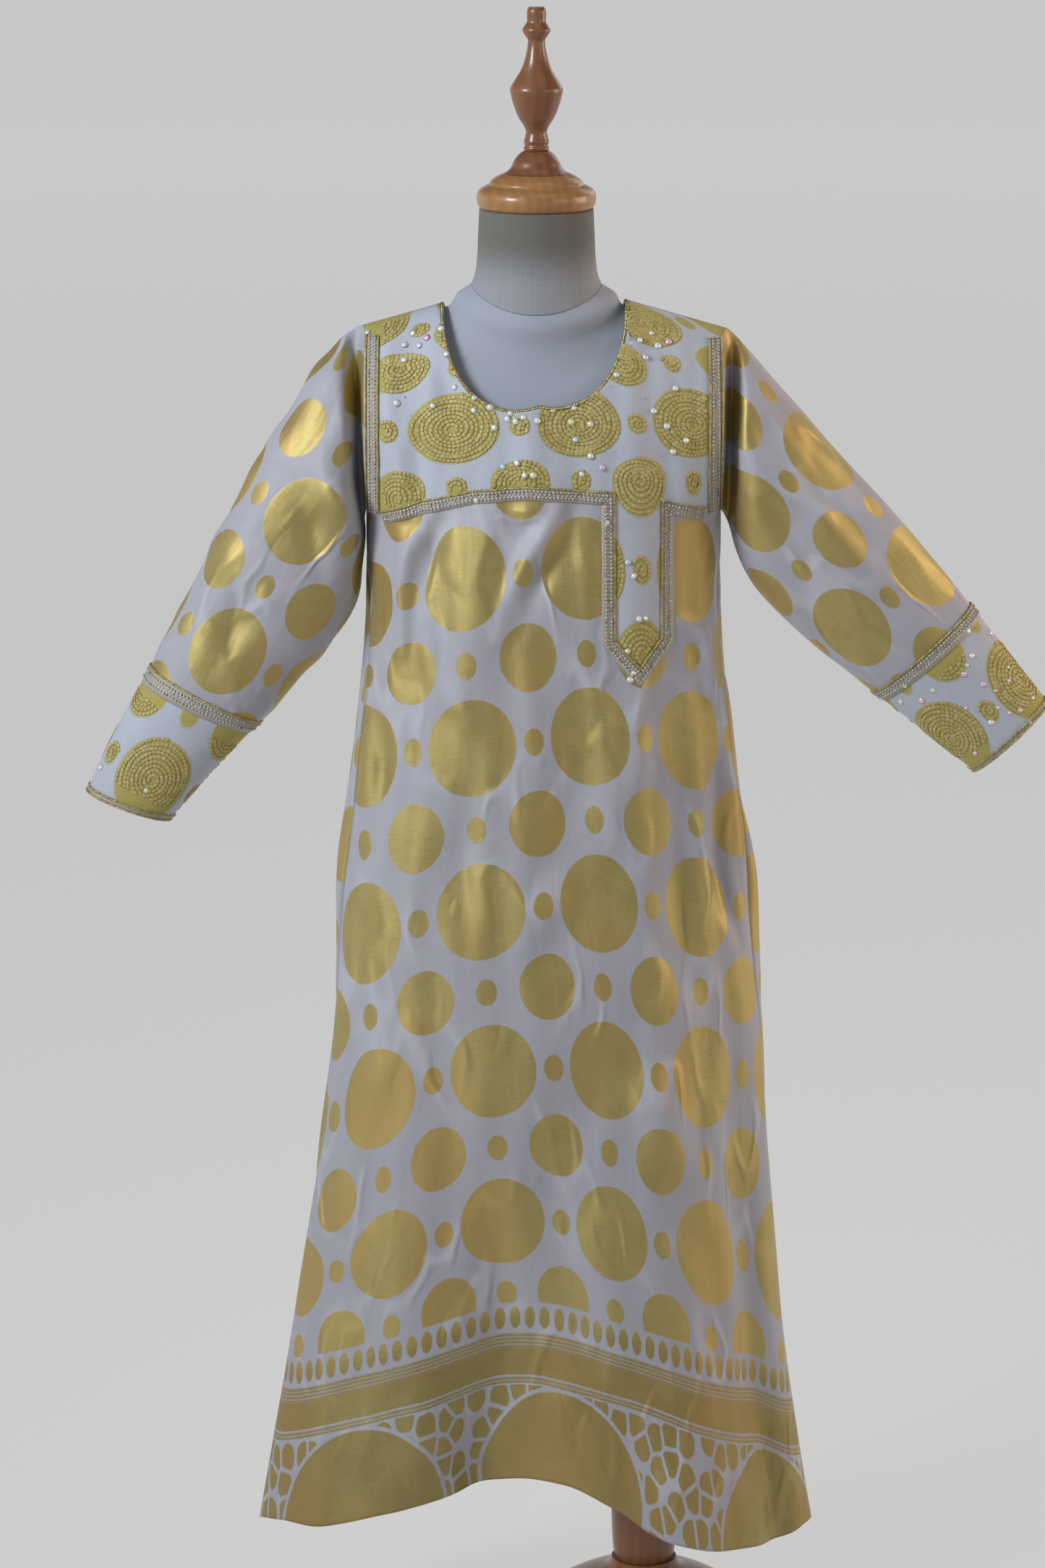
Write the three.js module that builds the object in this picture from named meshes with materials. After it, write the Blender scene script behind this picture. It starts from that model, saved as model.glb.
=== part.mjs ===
// A child's brocade thobe worn by a limbless dress form on a turned wooden stand.
//
// Millimetres, +Z up. The origin is the centre of the stand's foot, on the floor. The front faces -Y, and the
// wearer's right sleeve is at -X. The form's axis stands beside the post, so the garment's points are worked
// out from that axis as (across, y, z) and moved by FORM_AXIS_X when their mesh is placed. Every height in the
// tables is counted from a level DATUM_Z above the floor, and the finished group is raised by that much.
import * as THREE from "three";

// ---------------------------------------------------------------- driving dimensions

const FORM_AXIS_X = -105; // axis that the garment hangs about, beside the post
const FORM_LEAN_X = -3; // the dress form's own axis from the garment's
const DATUM_Z = 22; // level that the tables' heights are counted from, above the floor
const CLOTH = 1.8; // wall of the brocade with its backing
const SEAM_GAP = 0.4; // clear space between two sewn pieces
const BRAID_LIFT = 0.4; // clear space between a braid and its panel
const BRAID_THICKNESS = 1.4;
const BRAID_WIDTH = 15;
const BRAID_SET_IN = 1; // an armhole's braid from the armhole's seam

// The body of the garment, from the hem up to the underarm.
const UNDERARM_Z = 1118;
const NECK_POINT_Z = 1341; // height that the two shoulder lines would meet at
const SHOULDER_DROP = 0.28; // fall of the shoulder line for each millimetre outwards
const ARMHOLE_SHIFT = 4; // middle between the two armholes
const ARMHOLE_HALF_WIDTH = 168;
const ARMHOLE_DEPTH = 50; // reach of the armhole seam before and behind the shoulder line
const ARMHOLE_POINT = 0.7; // pointedness of the armhole's oval
const CHEST_FRONT = 98;
const CHEST_BACK = 92;
const CHEST_ROUNDNESS = { underarm: 0.5, shoulder: 0.8, settledBy: 0.3 }; // sideways curve's power, by height

// The neckline is half an ellipse hung from the two shoulder lines.
const NECK_MIDDLE = -5;
const NECK_HALF_WIDTH = 88;
const NECK_DEPTH_FRONT = 112;
const NECK_DEPTH_BACK = 45;

// Level sections of the body, by height.
const BODY_SECTIONS = [
  { z: 95, halfWidth: 276, shift: -3, front: 110, back: 124 },
  { z: 164, halfWidth: 264, shift: -3, front: 109, back: 121 },
  { z: 309, halfWidth: 241, shift: -1, front: 107, back: 115 },
  { z: 452, halfWidth: 226, shift: 3, front: 105, back: 110 },
  { z: 594, halfWidth: 210, shift: 9, front: 103, back: 106 },
  { z: 733, halfWidth: 198, shift: 8, front: 101, back: 103 },
  { z: 888, halfWidth: 183, shift: 5, front: 100, back: 99 },
  { z: 1024, halfWidth: 170, shift: 4, front: 100, back: 95 },
  { z: 1118, halfWidth: 168, shift: 4, front: 98, back: 92 },
];

// The hem's height round the garment, by the angle from the middle of the front, in degrees.
const HEM_FRONT = [
  { angle: -90, z: 103 },
  { angle: -66, z: 116 },
  { angle: -50, z: 120 },
  { angle: -34, z: 141 },
  { angle: -14, z: 162 },
  { angle: 6, z: 171 },
  { angle: 17, z: 150 },
  { angle: 25, z: 124 },
  { angle: 34, z: 112 },
  { angle: 46, z: 104 },
  { angle: 62, z: 96 },
  { angle: 76, z: 105 },
  { angle: 90, z: 103 },
];
const HEM_BACK = [
  { angle: -90, z: 103 },
  { angle: -58, z: 112 },
  { angle: -35, z: 132 },
  { angle: 0, z: 150 },
  { angle: 40, z: 128 },
  { angle: 66, z: 108 },
  { angle: 90, z: 103 },
];

// The side seams' angles from the middle of the front, by the share of the way from hem to underarm.
const SIDE_SEAMS = [
  { rise: 0, left: 88, right: 88 },
  { rise: 0.4, left: 88, right: 84 },
  { rise: 0.6, left: 84, right: 77 },
  { rise: 0.8, left: 75, right: 77 },
  { rise: 0.9, left: 76, right: 79 },
  { rise: 1, left: 90, right: 90 },
];

const SEAM_NARROWNESS = 40; // how closely the seam's gap keeps to the panel's edge
const PANEL_MARGIN = 6; // how closely the folds reach towards the side seams

// Large folds: troughs (negative depth) and ridges that run down a panel. Angles are in degrees from the
// middle of the panel, at the fold's top and at the hem; width is half the fold's breadth.
const FRONT_FOLDS = [
  { topAngle: -2, hemAngle: -8, topZ: 640, depth: -50, width: 62 },
  { topAngle: 22, hemAngle: 38, topZ: 900, depth: 24, width: 60 },
  { topAngle: 58, hemAngle: 62, topZ: 980, depth: -14, width: 34 },
  { topAngle: -30, hemAngle: -36, topZ: 760, depth: 7, width: 52 },
];
const BACK_FOLDS = [
  { topAngle: 4, hemAngle: 12, topZ: 700, depth: -34, width: 64 },
  { topAngle: -30, hemAngle: -44, topZ: 820, depth: 16, width: 58 },
  { topAngle: 46, hemAngle: 54, topZ: 760, depth: 14, width: 52 },
];
const FOLD_FOOT_Z = 112; // height at which a fold has its whole depth
const FOLD_GROWTH = 1.4; // how late a fold deepens on its way down

// Sections of each sleeve, from the armhole to the mouth: the upper and lower edges, outwards from the form's
// axis, the reach of the cloth before and behind the line between them, and the pointedness of the oval.
const SLEEVE_LEFT = [
  { upperX: 164.4, upperZ: 1295, lowerX: 164.4, lowerZ: 1118, front: 50, back: 50, point: 0.7 },
  { upperX: 169.5, upperZ: 1293.5, lowerX: 166, lowerZ: 1108, front: 15, back: 32, point: 0.7 },
  { upperX: 177, upperZ: 1289, lowerX: 167, lowerZ: 1092, front: 8, back: 27, point: 0.68 },
  { upperX: 188, upperZ: 1280.5, lowerX: 167.8, lowerZ: 1076, front: 42, back: 40, point: 0.62 },
  { upperX: 201, upperZ: 1267, lowerX: 168.8, lowerZ: 1060, front: 53, back: 47, point: 0.58 },
  { upperX: 218, upperZ: 1245, lowerX: 170.5, lowerZ: 1043, front: 56, back: 50, point: 0.55 },
  { upperX: 241, upperZ: 1210, lowerX: 175.5, lowerZ: 1025, front: 55, back: 50, point: 0.52 },
  { upperX: 268, upperZ: 1165, lowerX: 186, lowerZ: 1006, front: 52, back: 48, point: 0.5 },
  { upperX: 297, upperZ: 1111, lowerX: 203, lowerZ: 984, front: 48, back: 45, point: 0.5 },
  { upperX: 325, upperZ: 1060, lowerX: 224, lowerZ: 959, front: 44, back: 42, point: 0.5 },
  { upperX: 350, upperZ: 1009, lowerX: 247, lowerZ: 934, front: 41, back: 39, point: 0.5 },
  { upperX: 374, upperZ: 962, lowerX: 270, lowerZ: 910, front: 38, back: 36, point: 0.5 },
  { upperX: 398, upperZ: 920, lowerX: 301, lowerZ: 878, front: 34, back: 33, point: 0.5 },
  { upperX: 417, upperZ: 883, lowerX: 329, lowerZ: 847, front: 31, back: 30, point: 0.5 },
  { upperX: 434, upperZ: 846, lowerX: 355, lowerZ: 817, front: 29, back: 28, point: 0.5 },
];
const SLEEVE_RIGHT = [
  { upperX: 172.4, upperZ: 1292.8, lowerX: 172.4, lowerZ: 1118, front: 50, back: 50, point: 0.7 },
  { upperX: 176.5, upperZ: 1291, lowerX: 176, lowerZ: 1114, front: 20, back: 34, point: 0.7 },
  { upperX: 183.5, upperZ: 1285, lowerX: 179.5, lowerZ: 1108, front: 12, back: 29, point: 0.68 },
  { upperX: 193, upperZ: 1275.5, lowerX: 183, lowerZ: 1099, front: 43, back: 40, point: 0.62 },
  { upperX: 207, upperZ: 1260, lowerX: 186.5, lowerZ: 1088, front: 52, back: 47, point: 0.58 },
  { upperX: 226, upperZ: 1238, lowerX: 190.5, lowerZ: 1076, front: 55, back: 50, point: 0.55 },
  { upperX: 250, upperZ: 1212, lowerX: 196, lowerZ: 1062, front: 54, back: 50, point: 0.52 },
  { upperX: 278, upperZ: 1180, lowerX: 205, lowerZ: 1046, front: 52, back: 48, point: 0.5 },
  { upperX: 308, upperZ: 1146, lowerX: 221, lowerZ: 1027, front: 49, back: 46, point: 0.5 },
  { upperX: 338, upperZ: 1112, lowerX: 243, lowerZ: 1005, front: 46, back: 43, point: 0.5 },
  { upperX: 366, upperZ: 1080, lowerX: 270, lowerZ: 981, front: 43, back: 41, point: 0.5 },
  { upperX: 391, upperZ: 1051, lowerX: 297, lowerZ: 960, front: 41, back: 39, point: 0.5 },
  { upperX: 414, upperZ: 1023, lowerX: 322, lowerZ: 940, front: 38, back: 36, point: 0.5 },
  { upperX: 440, upperZ: 991, lowerX: 354, lowerZ: 915, front: 34, back: 33, point: 0.5 },
  { upperX: 464, upperZ: 960, lowerX: 386, lowerZ: 889, front: 31, back: 30, point: 0.5 },
  { upperX: 487, upperZ: 932, lowerX: 417, lowerZ: 865, front: 29, back: 28, point: 0.5 },
];
const CUFF_BRAID_LEFT = { from: 10.85, to: 11.3 }; // counted in sections along the sleeve
const CUFF_BRAID_RIGHT = { from: 11.85, to: 12.3 };
const CUFF_EDGE_LENGTH = 0.28; // length of the mouth's braid, in sections

// Middle line of the braid that edges the embroidered yoke, from the armhole at -X, round the pointed tab, to
// the other armhole, as (across, z).
const YOKE_EDGE = [
  { across: -144.5, z: 1120 },
  { across: -108, z: 1134 },
  { across: -62, z: 1146 },
  { across: -10, z: 1151 },
  { across: 63.5, z: 1145 },
  { across: 64.5, z: 1008 },
  { across: 94, z: 974 },
  { across: 120, z: 1008 },
  { across: 119.5, z: 1133 },
  { across: 153.3, z: 1123 },
];

// The dress form, by rings from the neck seam down to its flat underside.
const FORM_RINGS = [
  { halfWidth: 61, front: 58, back: 52, sideZ: 1334, frontZ: 1311, backZ: 1331 },
  { halfWidth: 72.5, front: 60, back: 52, sideZ: 1323.5, frontZ: 1299, backZ: 1316 },
  { halfWidth: 79.5, front: 57, back: 51, sideZ: 1311, frontZ: 1279, backZ: 1298 },
  { halfWidth: 101, front: 61, back: 54, sideZ: 1308.6, frontZ: 1255, backZ: 1272 },
  { halfWidth: 126, front: 69, back: 60, sideZ: 1303.1, frontZ: 1236, backZ: 1246 },
  { halfWidth: 142, front: 78, back: 71, sideZ: 1288, frontZ: 1216, backZ: 1222 },
  { halfWidth: 148, front: 85, back: 80, sideZ: 1262, frontZ: 1195, backZ: 1196 },
  { halfWidth: 145, front: 88, back: 83, sideZ: 1222, frontZ: 1168, backZ: 1164 },
  { halfWidth: 137, front: 88, back: 82, sideZ: 1165, frontZ: 1138, backZ: 1134 },
  { halfWidth: 128, front: 84, back: 79, sideZ: 1095, frontZ: 1085, backZ: 1085 },
  { halfWidth: 118, front: 78, back: 74, sideZ: 1000, frontZ: 1000, backZ: 1000 },
  { halfWidth: 130, front: 82, back: 82, sideZ: 910, frontZ: 910, backZ: 910 },
  { halfWidth: 144, front: 85, back: 90, sideZ: 820, frontZ: 820, backZ: 820 },
  { halfWidth: 146, front: 85, back: 90, sideZ: 770, frontZ: 770, backZ: 770 },
  { halfWidth: 143, front: 82, back: 87, sideZ: 754, frontZ: 754, backZ: 754 },
];
const RING_TILT = 1.5; // how soon a ring leaves its side height towards its front and back heights
const NECK_RADIUS = 54.5;
const NECK_TOP_Z = 1403.6;
const FORM_BOTTOM_Z = 754;

// Turned pieces, as radius by height.
const NECK_CAP_PROFILE = [
  { radius: 51.5, z: 1404 },
  { radius: 54.4, z: 1407 },
  { radius: 56, z: 1413 },
  { radius: 55.4, z: 1418.5 },
  { radius: 53, z: 1422 },
  { radius: 48, z: 1425 },
  { radius: 44.5, z: 1426.6 },
  { radius: 43, z: 1429.5 },
  { radius: 38, z: 1433.4 },
  { radius: 31, z: 1436.8 },
];
const FINIAL_COLLAR_PROFILE = [
  { radius: 29.5, z: 1437.1 },
  { radius: 26, z: 1440 },
  { radius: 23.6, z: 1443 },
  { radius: 21.2, z: 1448.5 },
  { radius: 17, z: 1454 },
  { radius: 12.5, z: 1457.6 },
];
const FINIAL_PROFILE = [
  { radius: 11, z: 1457.9 },
  { radius: 12, z: 1460.5 },
  { radius: 11, z: 1463.4 },
  { radius: 11.8, z: 1466.5 },
  { radius: 11, z: 1469.5 },
  { radius: 9.9, z: 1475.5 },
  { radius: 12, z: 1481 },
  { radius: 16.8, z: 1488.5 },
  { radius: 21.7, z: 1501 },
  { radius: 24, z: 1510 },
  { radius: 24.7, z: 1515 },
  { radius: 22.2, z: 1520.4 },
  { radius: 14.5, z: 1533 },
  { radius: 10.1, z: 1546 },
  { radius: 8, z: 1560 },
  { radius: 10.5, z: 1564 },
  { radius: 13.2, z: 1569.4 },
  { radius: 10.5, z: 1574.5 },
  { radius: 9, z: 1577 },
  { radius: 8.9, z: 1587 },
  { radius: 7.4, z: 1590.6 },
];
const POST_PROFILE = [
  { radius: 28.6, z: 62 },
  { radius: 30.6, z: 70 },
  { radius: 32.4, z: 100 },
  { radius: 33, z: 150 },
  { radius: 31, z: 420 },
  { radius: 29, z: 753.6 },
];
const FOOT_PROFILE = [
  { radius: 145, z: -22 },
  { radius: 150, z: -18 },
  { radius: 151, z: -12 },
  { radius: 148, z: -7 },
  { radius: 141, z: -3.5 },
  { radius: 130, z: 2 },
  { radius: 115, z: 11 },
  { radius: 98, z: 20.5 },
  { radius: 80, z: 31.5 },
  { radius: 66, z: 38.5 },
  { radius: 54, z: 43.5 },
  { radius: 43, z: 48 },
  { radius: 36, z: 53 },
  { radius: 32, z: 61.6 },
];

// How finely the cloth, the form and the turned wood are cut into facets.
const SHOULDER_COLUMNS = 4;
const NECK_COLUMNS = 14;
const SKIRT_ROWS = 16;
const CHEST_ROWS = 10;
const SLEEVE_AROUND = 20;
const PIPING_SIDES = 6;
const PIPING_RADIUS = 2;
const BRAID_STEP = 11;
const BRAID_CELLS = 2;
const FORM_AROUND = 40;
const TURNING_SIDES = 32;
const ARMHOLE_BRAID = { from: 0.03, to: 0.94, rows: 20 }; // shares of the way from underarm to shoulder
const CHEST_ROW_CROWDING = 1.5; // how much closer the rows lie towards the shoulder line

// ---------------------------------------------------------------- finishes

const finish = (color, roughness, metalness) => new THREE.MeshStandardMaterial({ color, roughness, metalness });
const BROCADE = finish("#c9c3b4", 0.45, 0.1);
const GOLD_BRAID = finish("#b9ac80", 0.4, 0.5);
const JERSEY = finish("#a9b3c9", 0.85, 0);
const LINEN = finish("#8f8a84", 0.9, 0);
const AMBER_WOOD = finish("#a8702f", 0.25, 0);
const RED_WOOD = finish("#6f4226", 0.25, 0);

// ---------------------------------------------------------------- numbers

const radians = THREE.MathUtils.degToRad;
const blend = THREE.MathUtils.lerp;
const clamp = THREE.MathUtils.clamp;

// A smooth curve through the rows of a table, with the rows' own slopes and no overshoot past the end rows.
function curveThrough(rows, along, column) {
  const slope = (i) => {
    const before = rows[Math.max(i - 1, 0)];
    const after = rows[Math.min(i + 1, rows.length - 1)];
    return (after[column] - before[column]) / (after[along] - before[along]);
  };
  return (at) => {
    const x = clamp(at, rows[0][along], rows[rows.length - 1][along]);
    let i = 0;
    while (i < rows.length - 2 && x > rows[i + 1][along]) i += 1;
    const span = rows[i + 1][along] - rows[i][along];
    const t = (x - rows[i][along]) / span;
    const rest = 1 - t;
    const start = rows[i][column] * (1 + 2 * t) * rest * rest + slope(i) * span * t * rest * rest;
    const end = rows[i + 1][column] * (3 - 2 * t) * t * t - slope(i + 1) * span * rest * t * t;
    return start + end;
  };
}

// The half-breadth of an oval, from 0 at its two ends to 1 in the middle.
const oval = (share, point) => Math.pow(Math.max(0, 4 * share * (1 - share)), point);

// ---------------------------------------------------------------- closed meshes

// A closed mesh from points and faces, turned so that its faces point out.
function closedMesh(name, points, faces, material, axisX) {
  const volume = faces.reduce((sum, [a, b, c]) => {
    const normal = new THREE.Vector3().crossVectors(points[b], points[c]);
    return sum + points[a].dot(normal);
  }, 0);
  const outward = volume > 0 ? faces : faces.map(([a, b, c]) => [a, c, b]);
  const geometry = new THREE.BufferGeometry();
  geometry.setAttribute("position", new THREE.Float32BufferAttribute(points.flatMap((p) => [p.x, p.y, p.z]), 3));
  geometry.setIndex(outward.flat());
  geometry.computeVertexNormals();
  const mesh = new THREE.Mesh(geometry, material);
  mesh.name = name;
  mesh.position.x = axisX;
  return mesh;
}

// A cloth wall: its outer and inner faces are grids of points, and its four edges are closed by narrow strips.
function wallMesh(name, outer, inner, columns, rows, material) {
  const points = [];
  const faces = [];
  const wide = columns + 1;
  const skin = wide * (rows + 1);
  for (const face of [outer, inner])
    for (let row = 0; row <= rows; row += 1)
      for (let column = 0; column <= columns; column += 1) points.push(face(column, row));
  const quad = (a, b, c, d) => faces.push([a, b, c], [a, c, d]);
  const at = (column, row) => row * wide + column;
  for (let row = 0; row < rows; row += 1)
    for (let column = 0; column < columns; column += 1) {
      const corners = [at(column, row), at(column + 1, row), at(column + 1, row + 1), at(column, row + 1)];
      quad(...corners);
      quad(...corners.map((corner) => corner + skin).reverse());
    }
  const edge = (from, to) => quad(from, from + skin, to + skin, to);
  for (let column = 0; column < columns; column += 1) {
    edge(at(column, 0), at(column + 1, 0));
    edge(at(column + 1, rows), at(column, rows));
  }
  for (let row = 0; row < rows; row += 1) {
    edge(at(columns, row), at(columns, row + 1));
    edge(at(0, row + 1), at(0, row));
  }
  return closedMesh(name, points, faces, material, FORM_AXIS_X);
}

// A cloth tube open at both ends: an outer and an inner skin round it, joined at the two mouths.
function tubeMesh(name, outer, inner, around, rows, material) {
  const points = [];
  const faces = [];
  const skin = around * (rows + 1);
  for (const face of [outer, inner])
    for (let row = 0; row <= rows; row += 1)
      for (let step = 0; step < around; step += 1) points.push(face(step / around, row / rows));
  const quad = (a, b, c, d) => faces.push([a, b, c], [a, c, d]);
  const at = (step, row) => row * around + (step % around);
  for (let step = 0; step < around; step += 1) {
    for (let row = 0; row < rows; row += 1) {
      const corners = [at(step, row), at(step + 1, row), at(step + 1, row + 1), at(step, row + 1)];
      quad(...corners);
      quad(...corners.map((corner) => corner + skin).reverse());
    }
    quad(at(step, 0), at(step, 0) + skin, at(step + 1, 0) + skin, at(step + 1, 0));
    quad(at(step + 1, rows), at(step + 1, rows) + skin, at(step, rows) + skin, at(step, rows));
  }
  return closedMesh(name, points, faces, material, FORM_AXIS_X);
}

// A closed stack of rings, each a list of points, with a fan over its first and its last ring.
function stackMesh(name, rings, firstCentre, lastCentre, material) {
  const around = rings[0].length;
  const points = [...rings.flat(), firstCentre, lastCentre];
  const faces = [];
  const first = points.length - 2;
  const last = points.length - 1;
  for (let step = 0; step < around; step += 1) {
    const next = (step + 1) % around;
    for (let ring = 0; ring < rings.length - 1; ring += 1) {
      const low = ring * around;
      const high = low + around;
      faces.push([low + step, low + next, high + next], [low + step, high + next, high + step]);
    }
    const top = (rings.length - 1) * around;
    faces.push([first, next, step], [last, top + step, top + next]);
  }
  return closedMesh(name, points, faces, material, FORM_AXIS_X + FORM_LEAN_X);
}

// A turned piece from its profile, closed by flat faces at both ends.
function turnedMesh(name, profile, material, axisX) {
  const outline = [
    new THREE.Vector2(0, profile[0].z),
    ...profile.map(({ radius, z }) => new THREE.Vector2(radius, z)),
    new THREE.Vector2(0, profile[profile.length - 1].z),
  ];
  const geometry = new THREE.LatheGeometry(outline, TURNING_SIDES);
  geometry.rotateX(Math.PI / 2);
  const mesh = new THREE.Mesh(geometry, material);
  mesh.name = name;
  mesh.position.x = axisX;
  return mesh;
}

// ---------------------------------------------------------------- the garment's form

const halfWidthAt = curveThrough(BODY_SECTIONS, "z", "halfWidth");
const shiftAt = curveThrough(BODY_SECTIONS, "z", "shift");
const frontAt = curveThrough(BODY_SECTIONS, "z", "front");
const backAt = curveThrough(BODY_SECTIONS, "z", "back");
const seamLeftAt = curveThrough(SIDE_SEAMS, "rise", "left");
const seamRightAt = curveThrough(SIDE_SEAMS, "rise", "right");

const FRONT = { side: -1, hemAt: curveThrough(HEM_FRONT, "angle", "z"), folds: FRONT_FOLDS,
  chest: CHEST_FRONT, neckDepth: NECK_DEPTH_FRONT, fullness: 2.5 };
const BACK = { side: 1, hemAt: curveThrough(HEM_BACK, "angle", "z"), folds: BACK_FOLDS,
  chest: CHEST_BACK, neckDepth: NECK_DEPTH_BACK, fullness: 3 };

// Sum of a panel's folds at an angle and a height, in millimetres outwards.
function foldDepth(panel, angle, z, radius) {
  return panel.folds.reduce((sum, fold) => {
    const rise = clamp((fold.topZ - z) / (fold.topZ - FOLD_FOOT_Z), 0, 1);
    const middle = blend(fold.topAngle, fold.hemAngle, rise);
    const away = (radians(angle - middle) * radius) / fold.width;
    return sum + fold.depth * rise ** FOLD_GROWTH * Math.exp(-away * away);
  }, 0);
}

// The angle, from the middle of the panel, that a share of its half-width reaches at the side seam.
function seamAngle(panel, share, rise) {
  const fromFront = share < 0 ? seamLeftAt(rise) : seamRightAt(rise);
  return panel.side < 0 ? fromFront : 180 - fromFront;
}

// A point of the skirt: share runs from -1 at the left seam to 1 at the right one, rise from the hem to the
// underarm. Inset moves the point inwards, through the cloth.
function skirtPoint(panel, share, rise, inset) {
  const angle = share * seamAngle(panel, share, rise);
  const hem = panel.hemAt(clamp(angle, -90, 90));
  const z = blend(hem, UNDERARM_Z, rise);
  const halfWidth = halfWidthAt(z) - inset;
  const gap = Math.sign(share) * Math.abs(share) ** SEAM_NARROWNESS * (SEAM_GAP / 2 / halfWidth);
  const turn = radians(angle) - gap;
  const beyond = Math.cos(turn) < 0;
  const reach = ((panel.side < 0) !== beyond ? frontAt(z) : backAt(z)) - inset;
  const fold = foldDepth(panel, angle, z, halfWidthAt(z)) * (1 - Math.abs(share) ** PANEL_MARGIN);
  const across = Math.sin(turn);
  const along = Math.cos(turn);
  const normal = new THREE.Vector2(across * reach, along * halfWidth).normalize();
  return new THREE.Vector3(
    shiftAt(z) + across * halfWidth + normal.x * fold,
    panel.side * (along * reach + normal.y * fold),
    z,
  );
}

// The shoulder line's height at a distance across.
const shoulderZ = (across) => NECK_POINT_Z - SHOULDER_DROP * Math.abs(across);

// A point of the chest or back: share of the way up is 0 at the underarm and 1 on the shoulder line.
function chestPoint(panel, across, up, inset) {
  const sideways = Math.min(1, Math.abs(across - ARMHOLE_SHIFT) / ARMHOLE_HALF_WIDTH);
  const middle = (panel.chest - inset) * Math.sqrt(Math.max(0, 1 - up ** panel.fullness));
  const seam = Math.max(inset > 0 ? SEAM_GAP / 2 : 0, ARMHOLE_DEPTH * oval(up, ARMHOLE_POINT) - inset);
  const { underarm, shoulder, settledBy } = CHEST_ROUNDNESS;
  const roundness = blend(underarm, shoulder, Math.min(1, up / settledBy));
  const reach = seam + Math.max(0, middle - seam) * Math.pow(1 - sideways * sideways, roundness);
  return new THREE.Vector3(
    across,
    panel.side * Math.max(SEAM_GAP / 2, reach),
    blend(UNDERARM_Z, shoulderZ(across) - inset, up),
  );
}

// Where the neckline stands at an angle from its middle, as a place across and a share of the way up.
function neckEdge(panel, turn) {
  const across = NECK_MIDDLE + NECK_HALF_WIDTH * Math.sin(turn);
  const up = 1 - (panel.neckDepth * Math.cos(turn)) / (shoulderZ(across) - UNDERARM_Z);
  return { across, up: Math.min(1, up) };
}

// Where each column of a panel stands at the underarm, and how far up it reaches: to the shoulder line beside
// the neck, and to the neckline between.
function panelColumns(panel) {
  const columns = [];
  const left = ARMHOLE_SHIFT - ARMHOLE_HALF_WIDTH;
  const right = ARMHOLE_SHIFT + ARMHOLE_HALF_WIDTH;
  const neckLeft = NECK_MIDDLE - NECK_HALF_WIDTH;
  const neckRight = NECK_MIDDLE + NECK_HALF_WIDTH;
  for (let i = 0; i < SHOULDER_COLUMNS; i += 1)
    columns.push({ across: blend(left, neckLeft, i / SHOULDER_COLUMNS), up: 1 });
  for (let i = 0; i <= NECK_COLUMNS; i += 1) columns.push(neckEdge(panel, Math.PI * (i / NECK_COLUMNS - 0.5)));
  for (let i = 1; i <= SHOULDER_COLUMNS; i += 1)
    columns.push({ across: blend(neckRight, right, i / SHOULDER_COLUMNS), up: 1 });
  return columns;
}

// A whole body panel. Below the underarm its columns spread out evenly towards the hem.
function bodyPanel(name, panel) {
  const columns = panelColumns(panel);
  const last = columns.length - 1;
  const skin = (inset) => (column, row) => {
    const { across, up } = columns[column];
    if (row > SKIRT_ROWS) {
      const climb = (row - SKIRT_ROWS) / CHEST_ROWS;
      return chestPoint(panel, across, up * (1 - (1 - climb) ** CHEST_ROW_CROWDING), inset);
    }
    const rise = row / SKIRT_ROWS;
    const sideways = clamp((across - ARMHOLE_SHIFT) / ARMHOLE_HALF_WIDTH, -1, 1);
    const even = (2 * column) / last - 1;
    return skirtPoint(panel, blend(even, Math.asin(sideways) / (Math.PI / 2), rise ** 3), rise, inset);
  };
  return wallMesh(name, skin(0), skin(CLOTH), last, SKIRT_ROWS + CHEST_ROWS, BROCADE);
}

// ---------------------------------------------------------------- sleeves

// A sleeve's surface: turn goes once round from the lower edge over the front, and along from armhole to mouth.
// Outset moves the point outwards.
function sleeveSurface(sections, side) {
  const rows = sections.map((section, index) => ({ ...section, index }));
  const columns = Object.keys(sections[0]);
  const curve = Object.fromEntries(columns.map((column) => [column, curveThrough(rows, "index", column)]));
  return (turn, index, outset) => {
    const lower = new THREE.Vector2(curve.lowerX(index), curve.lowerZ(index));
    const upper = new THREE.Vector2(curve.upperX(index), curve.upperZ(index));
    const line = upper.clone().sub(lower).normalize().multiplyScalar(outset);
    lower.sub(line);
    upper.add(line);
    const share = (1 - Math.cos(2 * Math.PI * turn)) / 2;
    const infront = turn < 0.5;
    const reach = (infront ? curve.front(index) : curve.back(index)) + outset;
    const spot = lower.lerp(upper, share);
    const depth = (infront ? -1 : 1) * reach * oval(share, curve.point(index));
    return new THREE.Vector3(side * spot.x, depth, spot.y);
  };
}

function sleeve(name, sections, side) {
  const surface = sleeveSurface(sections, side);
  const last = sections.length - 1;
  const skin = (outset) => (turn, share) => surface(turn, share * last, outset);
  return tubeMesh(name, skin(0), skin(-CLOTH), SLEEVE_AROUND, last, BROCADE);
}

// A braid all round a sleeve, between two places along it.
function sleeveBraid(name, sections, side, from, to) {
  const surface = sleeveSurface(sections, side);
  const skin = (outset) => (turn, share) => surface(turn, blend(from, to, share), outset);
  const around = SLEEVE_AROUND;
  return tubeMesh(name, skin(BRAID_LIFT + BRAID_THICKNESS), skin(BRAID_LIFT), around, 1, GOLD_BRAID);
}

// ---------------------------------------------------------------- piping and braids on the body

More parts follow.
